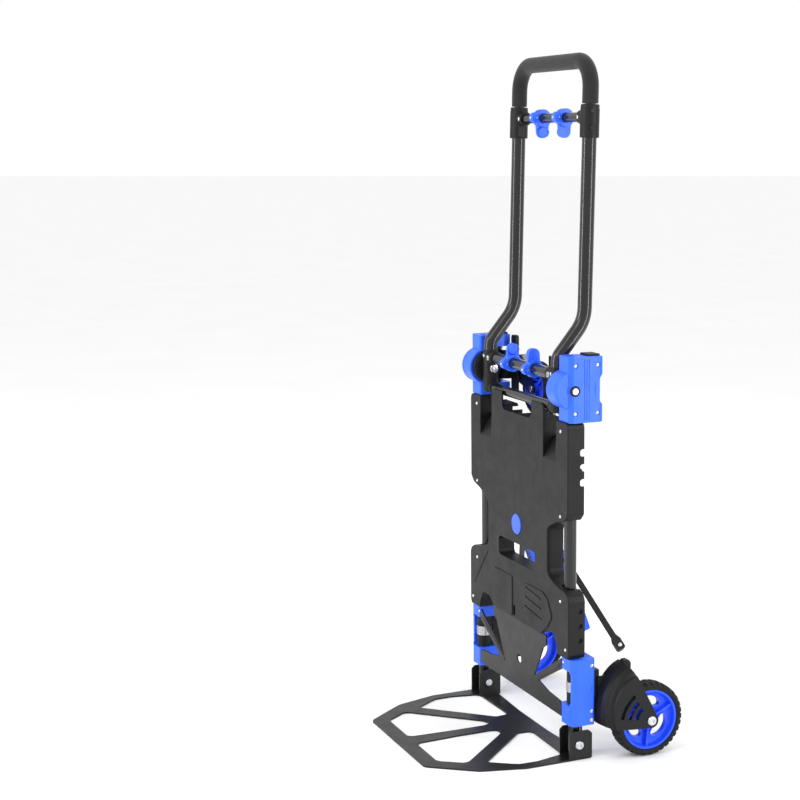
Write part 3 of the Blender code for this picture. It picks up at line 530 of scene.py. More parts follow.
# ---------------------------------------------------------------- fixings
def screw_template():
    o = lathe([(0, 0.42), (0.45, 0.40), (0.78, 0.30), (0.97, 0.10), (1.0, -0.05), (1.0, -0.25), (0, -0.25)], (0, 0, 0), (0, 0, 1), "t", steps=28)
    for ang in (0, 90):
        b = block(-0.56, 0.56, -0.11, 0.11, 0.12, 1.0)
        b.data.transform(Matrix.Rotation(radians(ang + 20), 4, "Z"))
        cut(o, b)
    return o


def hex_template():
    o = lathe([(0, 0.36), (0.50, 0.36), (0.86, 0.30), (1.0, 0.12), (1.0, -0.25), (0, -0.25)], (0, 0, 0), (0, 0, 1), "t", steps=32)
    socket = lathe([(0.46, 0.05), (0.46, 1.0)], (0, 0, 0), (0, 0, 1), steps=6)
    cut(o, socket)
    return o


SCREW = screw_template()
HEX = hex_template()
RIVET = lathe([(0, 0.46), (0.35, 0.43), (0.65, 0.33), (0.88, 0.16), (1.0, -0.05), (1.0, -0.25), (0, -0.25)], (0, 0, 0), (0, 0, 1), "t", steps=24)
for template in (SCREW, HEX, RIVET):
    bpy.context.scene.collection.objects.unlink(template)


def fixings(name, body, items, slot="bright_steel", replaces=()):
    """items: (template, place, direction, radius). One object holds a group of fixings of one body."""
    bm = bmesh.new()
    for template, pos, direction, r in items:
        mesh = template.data.copy()
        turn = Vector(direction).to_track_quat("Z", "Y").to_matrix().to_4x4()
        mesh.transform(Matrix.Translation(Vector(pos)) @ turn @ Matrix.Scale(r, 4))
        bm.from_mesh(mesh)
        bpy.data.meshes.remove(mesh)
    mesh = bpy.data.meshes.new(name)
    bm.to_mesh(mesh)
    bm.free()
    obj = bpy.data.objects.new(name, mesh)
    bpy.context.scene.collection.objects.link(obj)
    return place(obj, name, slot, body, replaces, bevel=0.12, segments=1, tidy_up=False)


# ---------------------------------------------------------------- deck panel
half = [(0, DECK_TOP), (100, DECK_TOP), (109, 612), (109, 560), (159, 560), (159, 595), (196, 595), (202, 592), (WING_X, 586), (WING_X, 436), (192, 424),
        (164, 417), (134, 404), (WAIST_X, 396), (WAIST_X, 322), (131, 315), (150, 307), (172, 302), (192, 300), (204, 294), (LOW_WING_X, 285),
        (LOW_WING_X, 190), (205, DECK_BOTTOM), (166, DECK_BOTTOM), (160, 200), (148, 216), (120, 216), (104, 203), (96, 200)]
half_r = [0, 6, 3, 0, 0, 3, 4, 4, 5, 6, 12, 16, 9, 9, 9, 9, 12, 16, 12, 8, 8, 4, 4, 4, 8, 7, 7, 4, 2]
outline = [(x, z) for x, z in half] + [(0, 200)] + [(-x, z) for x, z in reversed(half[1:])]
radii = half_r + [0] + list(reversed(half_r[1:]))
deck = prism(soft(outline, radii, 4), "XZ", 0.0, DECK_T, "deck", BLACK)
front_edges_bevel(deck, lambda c: abs(c.y) < 1e-4, 6.5, 5)


def pocket(x0, x1, z0, z1, depth=SKIN, r=2.5):
    x0, x1 = min(x0, x1), max(x0, x1)
    return prism(soft([(x0, z0), (x1, z0), (x1, z1), (x0, z1)], r, 2), "XZ", depth, DECK_T + 2)


cutters = []
for s in (1, -1):
    cutters.append(block(s * 162.2, s * 185.8, 9.4, DECK_T + 2, 408, 640))
    cutters.append(prism(mirror_points([(161.8, 330), (161.8, 268), (178.2, 200), (178.2, 160), (205.2, 160), (205.2, 200), (187, 276), (187, 330)], s),
                         "XZ", 9.4, DECK_T + 2))
    cutters.append(prism([(-4, 515.8), (34, 575.4), (34, 640), (-4, 640)], "YZ", min(s * 109, s * 159), max(s * 109, s * 159)))
    for z0, z1 in ((430, 470), (473, 512)):
        cutters.append(pocket(s * 129, s * 159, z0, z1))
    for z0, z1 in ((440, 510), (513, 583)):
        cutters.append(pocket(s * 188.8, s * 200, z0, z1, 6.0))
    for z in (491, 517, 543):
        cutters.append(rod((s * 196, 30, z), (s * 208, 30, z), 6.8, steps=24))
    for z in (214, 240, 266):
        cutters.append(rod((s * 205.6, 23, z), (s * 212, 23, z), 4.5, steps=20))
    for z0, z1 in ((222, 251), (254, 296)):
        cutters.append(pocket(s * 129, s * 158, z0, z1))
    # rivet seats on the front
    for x, z in ((176, 578), (176, 429), (177, 279), (197, 197)):
        cutters.append(rod((s * x, -2, z), (s * x, 0.7, z), 4.6, steps=20))
cutters.append(prism(soft([(-110, 592), (110, 592), (110, 640), (-110, 640)], [3, 3, 0, 0], 2), "XZ", SKIN, DECK_T + 2))
for x0, x1 in ((2, 41), (44, 83), (86, 125)):
    for z0, z1 in ((353, 378), (381, 412), (415, 446), (449, 480), (483, 514), (517, 551), (554, 587)):
        for s in (1, -1):
            x1c = 106 if (x0 == 86 and z1 > 510) else x1
            if x0 == 44 and z0 == 353:
                continue
            z0c = 326 if (x0 == 86 and z0 == 353) else z0
            cutters.append(pocket(s * x0, s * x1c, z0c, z1))
for x0, x1 in ((2, 41), (44, 83), (86, 125)):
    for z0, z1 in ((206, 227), (230, 251), (254, 275), (278, 300)):
        for s in (1, -1):
            cutters.append(pocket(s * x0, s * (min(x1, 117) if z0 < 220 else x1), (222 if (x0 == 86 and z0 < 220) else z0), z1 + (2 if z0 < 220 and x0 == 86 else 0)))
notch = soft([(-62, 650), (-62, 592), (-54, 583), (54, 583), (62, 592), (62, 650)], [0, 7, 7, 7, 7, 0], 4)
window = soft([(-77, 344), (77, 344), (77, 308), (-77, 308)], 8, 5)
cutters.append(prism(notch, "XZ", -4, DECK_T + 4))
cutters.append(prism(window, "XZ", -4, DECK_T + 4))
cutters.append(rod((0, -2, 380), (0, 1.0, 380), 20.3, steps=64))
# narrow slot beside the flap
cutters.append(prism(soft([(-14, 206), (-6, 206), (-6, 226), (-14, 226)], 2, 2), "XZ", -4, DECK_T + 4))
cut(deck, *cutters)
flap = prism(soft([(-112, 262), (-96, 279), (-17, 279), (-17, 203), (-70, 203), (-112, 212)], 4, 3), "XZ", -1.6, 1.0)
front_edges_bevel(flap, lambda c: c.y < -1.5, 1.2, 2)
pad = prism(soft([(32, 280), (110, 280), (128, 272), (147, 243), (131, 222), (106, 203), (32, 214)], [6, 8, 8, 8, 8, 8, 5], 3), "XZ", -1.6, 1.0)
front_edges_bevel(pad, lambda c: c.y < -1.5, 1.3, 3)
grooves = []
for k in range(3):
    x0, z0 = 40 - k * 1.5, 272 - k * 18
    grooves.append(prism(soft([(x0, z0), (x0 + 4, z0 + 3.6), (x0 + 62 + k * 3, z0 - 4), (x0 + 68 + k * 3, z0 - 8.5)], 1.2, 2), "XZ", -3.0, -0.3))
cut(pad, *grooves)
groove_line = [prism([(-127, 303), (-124, 301.5), (-187, 226), (-190, 227.5)], "XZ", -1, 0.9)]
cut(deck, *groove_line)
add(deck, flap, pad)
place(deck, "deck_panel_shell", "black_plastic", "frame", ["deck_panel"], bevel=0.9, segments=2, smooth=32)

badge = lathe([(18.8, 0.8), (18.8, -0.5), (18.3, -1.1), (17.4, -1.1), (16.9, -0.7), (16.4, -0.7), (15.9, -1.0), (8, -1.15), (0, -1.2)], (0, 0, 380), (0, 1, 0), steps=96)
place(badge, "badge_disc", "badge_blue", "frame", ["deck_badge"], smooth=30)
rivets = []
for s in (1, -1):
    for x, z in ((176, 578), (176, 429), (177, 279), (197, 197)):
        rivets.append((RIVET, (s * x, 0.2, z), (0, -1, 0), 3.5))
    rivets.append((SCREW, (s * 174, 32.0, 578), (0, 1, 0), 4.6))
    rivets.append((SCREW, (s * 187.5, 32.0, 222), (0, 1, 0), 4.6))
fixings("deck_rivets", "frame", rivets)
clips = [(RIVET, (x, SKIN + 0.2, z), (0, 1, 0), 3.4) for x in (-20, 20) for z in (366, 394)]
fixings("badge_clips", "frame", clips, slot="blue_plastic")


# ---------------------------------------------------------------- side tubes
def side_tube(s, tag):
    path = corner_path([(s * FOOT_X, TUBE_Y, 12), (s * FOOT_X, TUBE_Y, 205), (s * TUBE_X, TUBE_Y, 270), (s * TUBE_X, TUBE_Y, 594.6)], 60, 12)
    tube = sweep(path, TUBE_R, steps=40)
    cut(tube, rod((s * 150, NOSE_HINGE[0], NOSE_HINGE[1]), (s * 230, NOSE_HINGE[0], NOSE_HINGE[1]), 4.4, steps=24))
    place(tube, "frame_tube_" + tag, "black_tube", "frame", ["side_tube_" + tag], bevel=0.5, angle=50)


both(side_tube)


# ---------------------------------------------------------------- lower brackets
def lower_bracket(s, tag):
    plan = [(173, 9), (176, 4), (206, 4), (213, 7), (215, 15), (215, 47), (212, 50), (176, 50), (173, 46)]
    body = prism(soft([(s * x, y) for x, y in plan], [3, 2, 4, 5, 6, 3, 3, 3, 3], 4), "XY", 62, 181)
    window = block(s * 172, s * 206, 2, 52, 97, 159)
    front = prism(soft([(0, 95), (6.5, 102), (6.5, 154), (0, 161)], [0, 4, 4, 0], 3), "YZ", min(s * 200, s * 217), max(s * 200, s * 217))
    bore = rod((s * FOOT_X, TUBE_Y, 50), (s * FOOT_X, TUBE_Y, 190), TUBE_R + 0.8, steps=40)
    slot = prism(soft([(42.2, 121), (44.0, 121), (44.0, 135), (42.2, 135)], 0.8, 2), "YZ", min(s * 214, s * 218), max(s * 214, s * 218))
    seats = [rod((s * 214.0, 44, z), (s * 218, 44, z), 4.9, steps=28) for z in (168, 86)]
    seats.append(rod((s * 214.0, 44, 70), (s * 218, 44, 70), 4.9, steps=28))
    seats.append(rod((s * 180, 0, 170), (s * 180, 4.9, 170), 4.6, steps=24))
    cut(body, window, front, bore, slot, *seats)
    place(body, "bracket_low_" + tag, "blue_plastic", "frame", ["lower_bracket_" + tag], bevel=0.8, segments=3)
    fixings("bracket_low_screws_" + tag, "frame",
            [(SCREW, (s * 214.0, 44, 168), (s, 0, 0), 3.7), (SCREW, (s * 214.0, 44, 86), (s, 0, 0), 3.7), (HEX, (s * 214.0, 44, 70), (s, 0, 0), 4.0),
             (SCREW, (s * 180, 4.9, 170), (0, -1, 0), 3.5)])


both(lower_bracket)

# ---------------------------------------------------------------- cross plate
band = prism(soft([(-172.6, 70), (172.6, 70), (172.6, 96), (120, 100), (40, 118), (-40, 118), (-120, 100), (-172.6, 96)], [2, 2, 3, 14, 14, 14, 14, 3], 4), "XZ", 5, 8)
post = prism(soft([(-52, 90), (52, 90), (66, 116), (98, 172), (98, 199.6), (-98, 199.6), (-98, 172), (-66, 116)], [0, 0, 10, 12, 3, 3, 12, 10], 4), "XZ", 5, 8)
braces = [prism(mirror_points([(28, 92), (52, 92), (172.6, 156), (172.6, 176)], s), "XZ", 5, 8) for s in (1, -1)]
top_band = prism(soft([(-112, 199.6), (-112, 182), (-90, 168), (90, 168), (112, 182), (112, 199.6)], [2, 4, 6, 6, 4, 2], 3), "XZ", 5, 8)
plate = add(band, post, top_band, *braces)
add(plate, block(-172.6, 172.6, 5, 17, 70, 73))
# pressed stiffening beads
for s in (1, -1):
    bead = prism(soft(mirror_points([(62, 108), (66, 102), (164, 156), (164, 164)], s), 2.5, 2), "XZ", 4.2, 6)
    add(plate, bead)
cut(plate, rod((0, 0, 126), (0, 20, 126), 9, steps=48))
place(plate, "cross_brace", "black_steel", "frame", ["cross_plate"], bevel=0.45, segments=2)


# ---------------------------------------------------------------- upper brackets with the handle pivot housing
def upper_bracket(s, tag):
    plan = [(164, 5), (167, 2), (199, 2), (206, 9), (206, 60), (203, 67), (168, 67), (164, 63)]
    side = soft([(2, 595), (67, 595), (67, 624), (60, 631), (60, 670), (67, 678), (67, 708), (2, 708)], [3, 4, 4, 4, 4, 4, 4, 3], 4)
    body = prism(soft([(s * x, y) for x, y in plan], [2, 3, 4, 4, 3, 3, 3, 3], 3), "XY", 595, 708)
    keep(body, prism(side, "YZ", min(s * 150, s * 220), max(s * 150, s * 220)))
    disc = lathe([(32.0, 160.2), (33, 161.2), (33, 190.6), (32.2, 191.4), (32.2, 192.6), (33, 193.4), (33, 197.6), (31.4, 199.3), (0, 199.3)],
                 (0, PIVOT[0], PIVOT[1]), (s, 0, 0), steps=96)
    add(body, disc)
    recess = lathe([(0, 158), (29.4, 158), (29.4, 162.8), (0, 162.8)], (0, PIVOT[0], PIVOT[1]), (s, 0, 0), steps=96)
    cut(body, recess)
    window = block(s * 155, s * 202, 26.5, 80, 616.6, 685.4)
    groove = [block(s * 205, s * 208, y, y + 1.3, 600, 703) for y in (30, 34.3, 38.6)]
    bore = rod((s * 150, PIVOT[0], PIVOT[1]), (s * 212, PIVOT[0], PIVOT[1]), 5.6, steps=32)
    seat = rod((s * 204.2, PIVOT[0], PIVOT[1]), (s * 212, PIVOT[0], PIVOT[1]), 9.6, steps=48)
    seats = [rod((s * 204.4, y, z), (s * 212, y, z), 4.7, steps=28) for y, z in ((14, 693), (56, 693), (14, 611), (56, 611))]
    top_hole = rod((s * 178, 16, 700), (s * 178, 16, 712), 7.5, steps=40)
    slot = prism(soft([(50.0, 640), (51.6, 640), (51.6, 662), (50.0, 662)], 0.7, 2), "YZ", min(s * 205, s * 210), max(s * 205, s * 210))
    cut(body, window, bore, seat, top_hole, slot, *groove, *seats)
    place(body, "bracket_high_" + tag, "blue_plastic", "frame", ["upper_bracket_" + tag], bevel=0.9, segments=3)
    cap = block(s * 170, s * 200, 40, 63, 707.6, 711.4)
    place(cap, "bracket_cap_" + tag, "black_plastic", "frame", bevel=1.2, segments=3)
    fixings("bracket_high_screws_" + tag, "frame",
            [(SCREW, (s * 204.4, y, z), (s, 0, 0), 3.7) for y, z in ((14, 693), (56, 693), (14, 611), (56, 611))])
    washer = lathe([(6.2, 204.3), (9.3, 204.3), (9.3, 205.0), (8.9, 205.3), (6.2, 205.3)], (0, PIVOT[0], PIVOT[1]), (s, 0, 0), steps=48, ring=True)
    place(washer, "pivot_washer_" + tag, "black_plastic", "frame", smooth=28)
    bolt = lathe([(0, 206.4), (3.0, 206.4), (3.0, 208.2), (4.8, 208.2), (5.8, 207.6), (6.1, 206.5), (6.1, 204.4), (5, 204.4), (5, 125.3), (8, 125.3), (8, 122.9),
                  (6.8, 121.7), (3.4, 121.5), (3.4, 123.4), (0, 123.4)],
                 (0, PIVOT[0], PIVOT[1]), (s, 0, 0), steps=48)
    place(bolt, "pivot_bolt_" + tag, "bright_steel", "frame", ["handle_pivot_bolt_" + tag], smooth=28)
    pin = lathe([(5, 616.9), (5, 641), (10.5, 641), (10.5, 660.5), (5, 660.5), (5, 685.1)], (s * CASTER_HINGE[0], CASTER_HINGE[1], 0), (0, 0, 1), steps=48)
    ribs = [block(-0.75, 0.75, 9.9, 10.95, 641.8, 659.7) for _ in range(18)]
    for k, rib in enumerate(ribs):
        rib.data.transform(Matrix.Translation((s * CASTER_HINGE[0], CASTER_HINGE[1], 0)) @ Matrix.Rotation(2 * pi * k / 18, 4, "Z"))
        add(pin, rib)
    place(pin, "caster_hinge_sleeve_" + tag, "bright_steel", "frame", ["caster_hinge_pin_" + tag], smooth=28)


both(upper_bracket)


# ---------------------------------------------------------------- release lever and its mounting
def lever_clevis(s, tag):
    y, z = LEVER_PIVOT
    foot = prism(soft([(DECK_T + 0.3, 345), (y + 2, 345), (y + 8, 349), (y + 8, 356), (y + 2, 361), (DECK_T + 0.3, 366)], [1, 3, 3, 3, 3, 1], 3), "YZ",
                 min(s * 59, s * 66.5), max(s * 59, s * 66.5))
    pin = lathe([(0, 57), (5.0, 57), (5.5, 57.6), (5.5, 60), (3.5, 60), (3.5, 77), (0, 77)], (0, y, z), (s, 0, 0), steps=32)
    add(foot, pin)
    place(foot, "lever_mount_" + tag, "black_steel", "frame", ["lever_clevis_" + tag], bevel=0.5)


both(lever_clevis)


def tilt(obj):
    m = Matrix.Translation((0, LEVER_PIVOT[0], LEVER_PIVOT[1])) @ Matrix.Rotation(radians(LEVER_TILT), 4, "X") @ Matrix.Translation((0, -LEVER_PIVOT[0], -LEVER_PIVOT[1]))
    obj.data.transform(m)
    return obj


py, pz = LEVER_PIVOT
frame_pts = [(-80, pz - 176), (80, pz - 176), (80, pz + 7), (70.5, pz + 7), (70.5, pz - 20), (57, pz - 20), (57, pz - 152), (-57, pz - 152),
             (-57, pz - 20), (-70.5, pz - 20), (-70.5, pz + 7), (-80, pz + 7)]
lever = prism(soft(frame_pts, [7, 7, 4, 3, 2, 3, 5, 5, 3, 2, 3, 4], 4), "XZ", py - 6.5, py + 6.5)
middle = block(-58, 58, py - 6.5, py + 6.5, pz - 101, pz - 77)
add(lever, middle)
cells = []
for s in (1, -1):
    for z0, z1 in ((-148, -126), (-123, -101), (-98, -76), (-73, -50), (-47, -23)):
        cells.append(prism(soft([(s * 60, pz + z0), (s * 77.5, pz + z0), (s * 77.5, pz + z1), (s * 60, pz + z1)], 1.6, 2), "XZ", py - 3, py + 9))
for k in range(6):
    x0 = -55.5 + k * 18.8
    cells.append(prism(soft([(x0, pz - 98.5), (x0 + 16.6, pz - 98.5), (x0 + 16.6, pz - 79.5), (x0, pz - 79.5)], 1.5, 2), "XZ", py - 3, py + 9))
for k in range(9):
    x0 = -74 + k * 16.6
    cells.append(prism(soft([(x0, pz - 173.4), (x0 + 14.2, pz - 173.4), (x0 + 14.2, pz - 154.6), (x0, pz - 154.6)], 1.5, 2), "XZ", py + 4.2, py + 9))
for s in (1, -1):
    cells.append(rod((s * 65, py, pz), (s * 85, py, pz), 3.9, steps=28))
cut(lever, *cells)
add(lever, *[rod((s * 79, py, pz - ROD_PIN_R), (s * 83.6, py, pz - ROD_PIN_R), 3.2, steps=24) for s in (1, -1)])
tilt(lever)
place(lever, "release_handle", "blue_plastic", "release", ["release_lever"], bevel=0.6, segments=2)


def link_rod(s, tag):
    j = Vector((s * ROD_X, py + ROD_PIN_R * sin(radians(LEVER_TILT)), pz - ROD_PIN_R * cos(radians(LEVER_TILT))))
    e = Vector((s * ROD_END[0], ROD_END[1], ROD_END[2]))
    d = (e - j).normalized()
    length = (e - j).length
    side = Vector((s, 0, 0))
    side = (side - d * side.dot(d)).normalized()
    other = d.cross(side)

    def along(points, t):
        """points (distance, width) outline, t thickness across."""
        o = bmesh.new()
        rows = [[o.verts.new(j + d * a + other * w + side * q) for a, w in points] for q in (-t / 2, t / 2)]
        o.faces.new(rows[0])
        o.faces.new(rows[1])
        n = len(points)
        for i in range(n):
            o.faces.new((rows[0][i], rows[0][(i + 1) % n], rows[1][(i + 1) % n], rows[1][i]))
        return mesh_object("x", o, PLATE)
    bar = along(soft([(-6, -5), (length - 30, -5), (length - 30, 5), (-6, 5)], [4.5, 1, 1, 4.5], 5), 4.5)
    end = along(soft([(length - 40, -4), (length - 32, -7.5), (length - 12, -7.5), (length - 12, 7.5), (length - 32, 7.5), (length - 40, 4)], [1, 3, 4, 4, 3, 1], 4), 13)
    add(bar, end)
    place(bar, "link_bar_" + tag, "black_steel", "link_" + tag, ["link_rod_" + tag], bevel=0.5, segments=2)
    fixings("link_rivet_" + tag, "link_" + tag, [(RIVET, tuple(j + side * 2.3), tuple(side), 3.6), (RIVET, tuple(e - d * 21 + side * 6.4), tuple(side), 4.2)])


both(link_rod)


# ---------------------------------------------------------------- road wheel carriers
def carrier(s, tag):
    wy, wz = WHEEL_C[1], WHEEL_C[2]
    # oval dome with stepped ridges, cut to the guard's side outline, with a flat outer face
    outer = [(0, 254), (63.5, 254), (65.4, 253.6), (66.6, 252.2), (67.4, 249.4), (68.4, 248.6), (73.0, 246.6), (74.6, 245.4), (75.4, 242.6), (76.4, 241.6),
             (80.0, 238.0), (81.2, 236.2), (81.6, 233.0), (82.4, 231.6), (84.6, 226.6), (85.4, 224.2), (85.8, 220.8), (86.6, 219.4), (87.6, 214), (88, 209), (88, 203)]
    inner = [(85.4, 203), (85.3, 209), (84.6, 214), (82.4, 221.4), (79.0, 230), (76.6, 235.4), (73.0, 240.4), (70.8, 243.6), (65.6, 246.8), (63.6, 250.0), (62.4, 251)]
    dome = lathe(outer + inner + [(0, 251)], (0, 0, 0), (s, 0, 0), steps=144)
    dome.data.transform(Matrix.Translation((0, 118, 84)) @ Matrix.Diagonal((1, 0.75, 1, 1)))
    side_view = soft([(50, 64), (66, 60), (100, 56), (134, 53.5)] + arc(142, 66, 13.2, -75, 38, 10) + [(108, 160), (98, 175), (50, 175)],
                     [3, 4, 20, 3] + [0] * 11 + [6, 6, 3], 4)
    keep(dome, prism(side_view, "YZ", min(s * 150, s * 270), max(s * 150, s * 270)))
    slots = []
    for r, a0, a1 in ((60, 124, 170), (45, 126, 170), (31, 128, 170)):
        pts = arc(142, 66, r + 3.6, a0, a1, 10) + list(reversed(arc(142, 66, r - 3.6, a0, a1, 10)))
        slots.append(prism(soft(pts, [2.5] + [0] * 9 + [2.5, 2.5] + [0] * 9 + [2.5], 3), "YZ", min(s * 240, s * 262), max(s * 240, s * 262)))
    cheek = prism(soft([(57, 70), (100, 58), (134, 55)] + arc(142, 66, 11, -80, 60, 6) + [(118, 132), (118, 157), (100, 157), (100, 146), (57, 146)],
                       [2, 4, 2] + [0] * 7 + [4, 3, 3, 3, 2], 3), "YZ", min(s * 208.6, s * 211.6), max(s * 208.6, s * 211.6))
    web = block(s * 185, s * 199, 27, 61.5, 99, 157)
    bridge = block(s * 196, s * 207, 53.5, 61.5, 99, 157)
    # eye that carries the link, and the rounded shoulder in front of it
    lug = prism(soft([(99, 144), (99, 164), (103, 172), (113, 172), (117, 166), (117, 144)], [0, 4, 4, 4, 4, 0], 3), "YZ", min(s * 208.6, s * 221), max(s * 208.6, s * 221))
    barrels = [lathe([(12.6, z0), (13.5, z0 + 0.9), (13.5, z1 - 0.9), (12.6, z1)], (s * FOOT_X, TUBE_Y, 0), (0, 0, 1), steps=56) for z0, z1 in ((98, 119), (137.6, 158))]
    add(dome, cheek, web, bridge, lug, *barrels)
    bore = rod((s * FOOT_X, TUBE_Y, 90), (s * FOOT_X, TUBE_Y, 165), TUBE_R + 0.8, steps=56)
    pocket_mid = block(s * 176, s * 206.6, 6, 36.5, 119, 137.6)
    axle_hole = rod((s * 200, wy, wz), (s * 260, wy, wz), 5.5, steps=32)
    seat = rod((s * 253.2, wy, wz), (s * 260, wy, wz), 10.2, steps=40)
    cut(dome, bore, pocket_mid, axle_hole, seat, *slots)
    place(dome, "guard_" + tag, "black_plastic", "carrier_" + tag, ["wheel_guard_" + tag], bevel=0.6, segments=2, smooth=34)
    sleeve = lathe([(TUBE_R + 0.8, 119.4), (13.6, 119.4), (14, 119.9), (14, 136.7), (13.6, 137.2), (TUBE_R + 0.8, 137.2)], (s * FOOT_X, TUBE_Y, 0), (0, 0, 1), steps=72, ring=True)
    ribs = []
    for k in range(24):
        rib = block(-0.7, 0.7, 13.4, 14.6, 121.0, 135.6)
        rib.data.transform(Matrix.Translation((s * FOOT_X, TUBE_Y, 0)) @ Matrix.Rotation(2 * pi * k / 24, 4, "Z"))
        ribs.append(rib)
    add(sleeve, *ribs)
    place(sleeve, "hinge_sleeve_" + tag, "bright_steel", "frame", ["wheel_hinge_sleeve_" + tag], smooth=28)
    axle = lathe([(0, 206.2), (7.4, 206.2), (8, 206.8), (8, 208.3), (5, 208.3), (5, 253.4), (8.6, 253.4), (8.6, 255.2), (7.6, 256.6), (5.0, 257.2), (3.6, 257.2),
                  (3.2, 255.6), (0, 255.6)], (0, wy, wz), (s, 0, 0), steps=48)
    place(axle, "road_axle_" + tag, "bright_steel", "carrier_" + tag, ["wheel_axle_" + tag], smooth=28)


both(carrier)


# ---------------------------------------------------------------- wheels
def tyre(centre, axis, radius, rim_r, width, lugs, depth, name, body, node):
    """Moulded tyre: bead, sidewall edge line, and shoulder lugs that alternate from side to side."""
    w = width / 2
    # (r, s, how much a groove takes off here)
    rows = [(rim_r, -w + 2.2, 0), (rim_r + 1.2, -w + 1.0, 0), (rim_r + 2.4, -w + 0.9, 0), (rim_r + 2.8, -w + 0.3, 0), (rim_r + 3.8, -w + 0.3, 0), (rim_r + 4.2, -w + 0.9, 0),
            (radius - 5.6, -w + 0.5, 0), (radius - 5.0, -w + 0.6, 0.25), (radius - 3.0, -w + 1.4, 0.9), (radius - 1.3, -w + 3.2, 1.0), (radius - 0.5, -w + 5.5, 1.0),
            (radius - 0.25, -w * 0.42, 1.0), (radius - 0.2, -w * 0.36, 0.0), (radius - 0.05, -w * 0.2, 0.0), (radius - 1.1, -w * 0.12, 0.0),
            (radius - 1.1, w * 0.12, 0.0), (radius - 0.05, w * 0.2, 0.0), (radius - 0.2, w * 0.36, 0.0), (radius - 0.25, w * 0.42, 1.0), (radius - 0.5, w - 5.5, 1.0),
            (radius - 1.3, w - 3.2, 1.0), (radius - 3.0, w - 1.4, 0.9), (radius - 5.0, w - 0.6, 0.25), (radius - 5.6, w - 0.5, 0), (rim_r + 4.2, w - 0.9, 0),
            (rim_r + 3.8, w - 0.3, 0), (rim_r + 2.8, w - 0.3, 0), (rim_r + 2.4, w - 0.9, 0), (rim_r + 1.2, w - 1.0, 0), (rim_r, w - 2.2, 0)]
    d, u, v = frame_for(axis)
    c = Vector(centre)
    # stations per lug: (angle share, groove amount) for the two sides
    shares = [(0.0, 0), (0.56, 0), (0.60, 1), (0.96, 1)]
    stations = [(k + a, g) for k in range(lugs) for a, g in shares]
    bm = bmesh.new()
    rings = []
    for a, g in stations:
        ang = 2 * pi * a / lugs
        ring = []
        for r, sft, m in rows:
            shift = 0.5 if sft > 0 else 0.0
            t = ang + 2 * pi * shift / lugs
            rr = r - depth * m * g
            ring.append(bm.verts.new(c + d * sft + (u * cos(t) + v * sin(t)) * rr))
        rings.append(ring)
    n = len(rows)
    for i, ring in enumerate(rings):
        nxt = rings[(i + 1) % len(rings)]
        for k in range(n):
            j = (k + 1) % n
            bm.faces.new((ring[k], ring[j], nxt[j], nxt[k]))
    obj = mesh_object(name, bm, BLACK)
    place(obj, name, "tyre_rubber", body, [node], smooth=33, tidy_up=False)


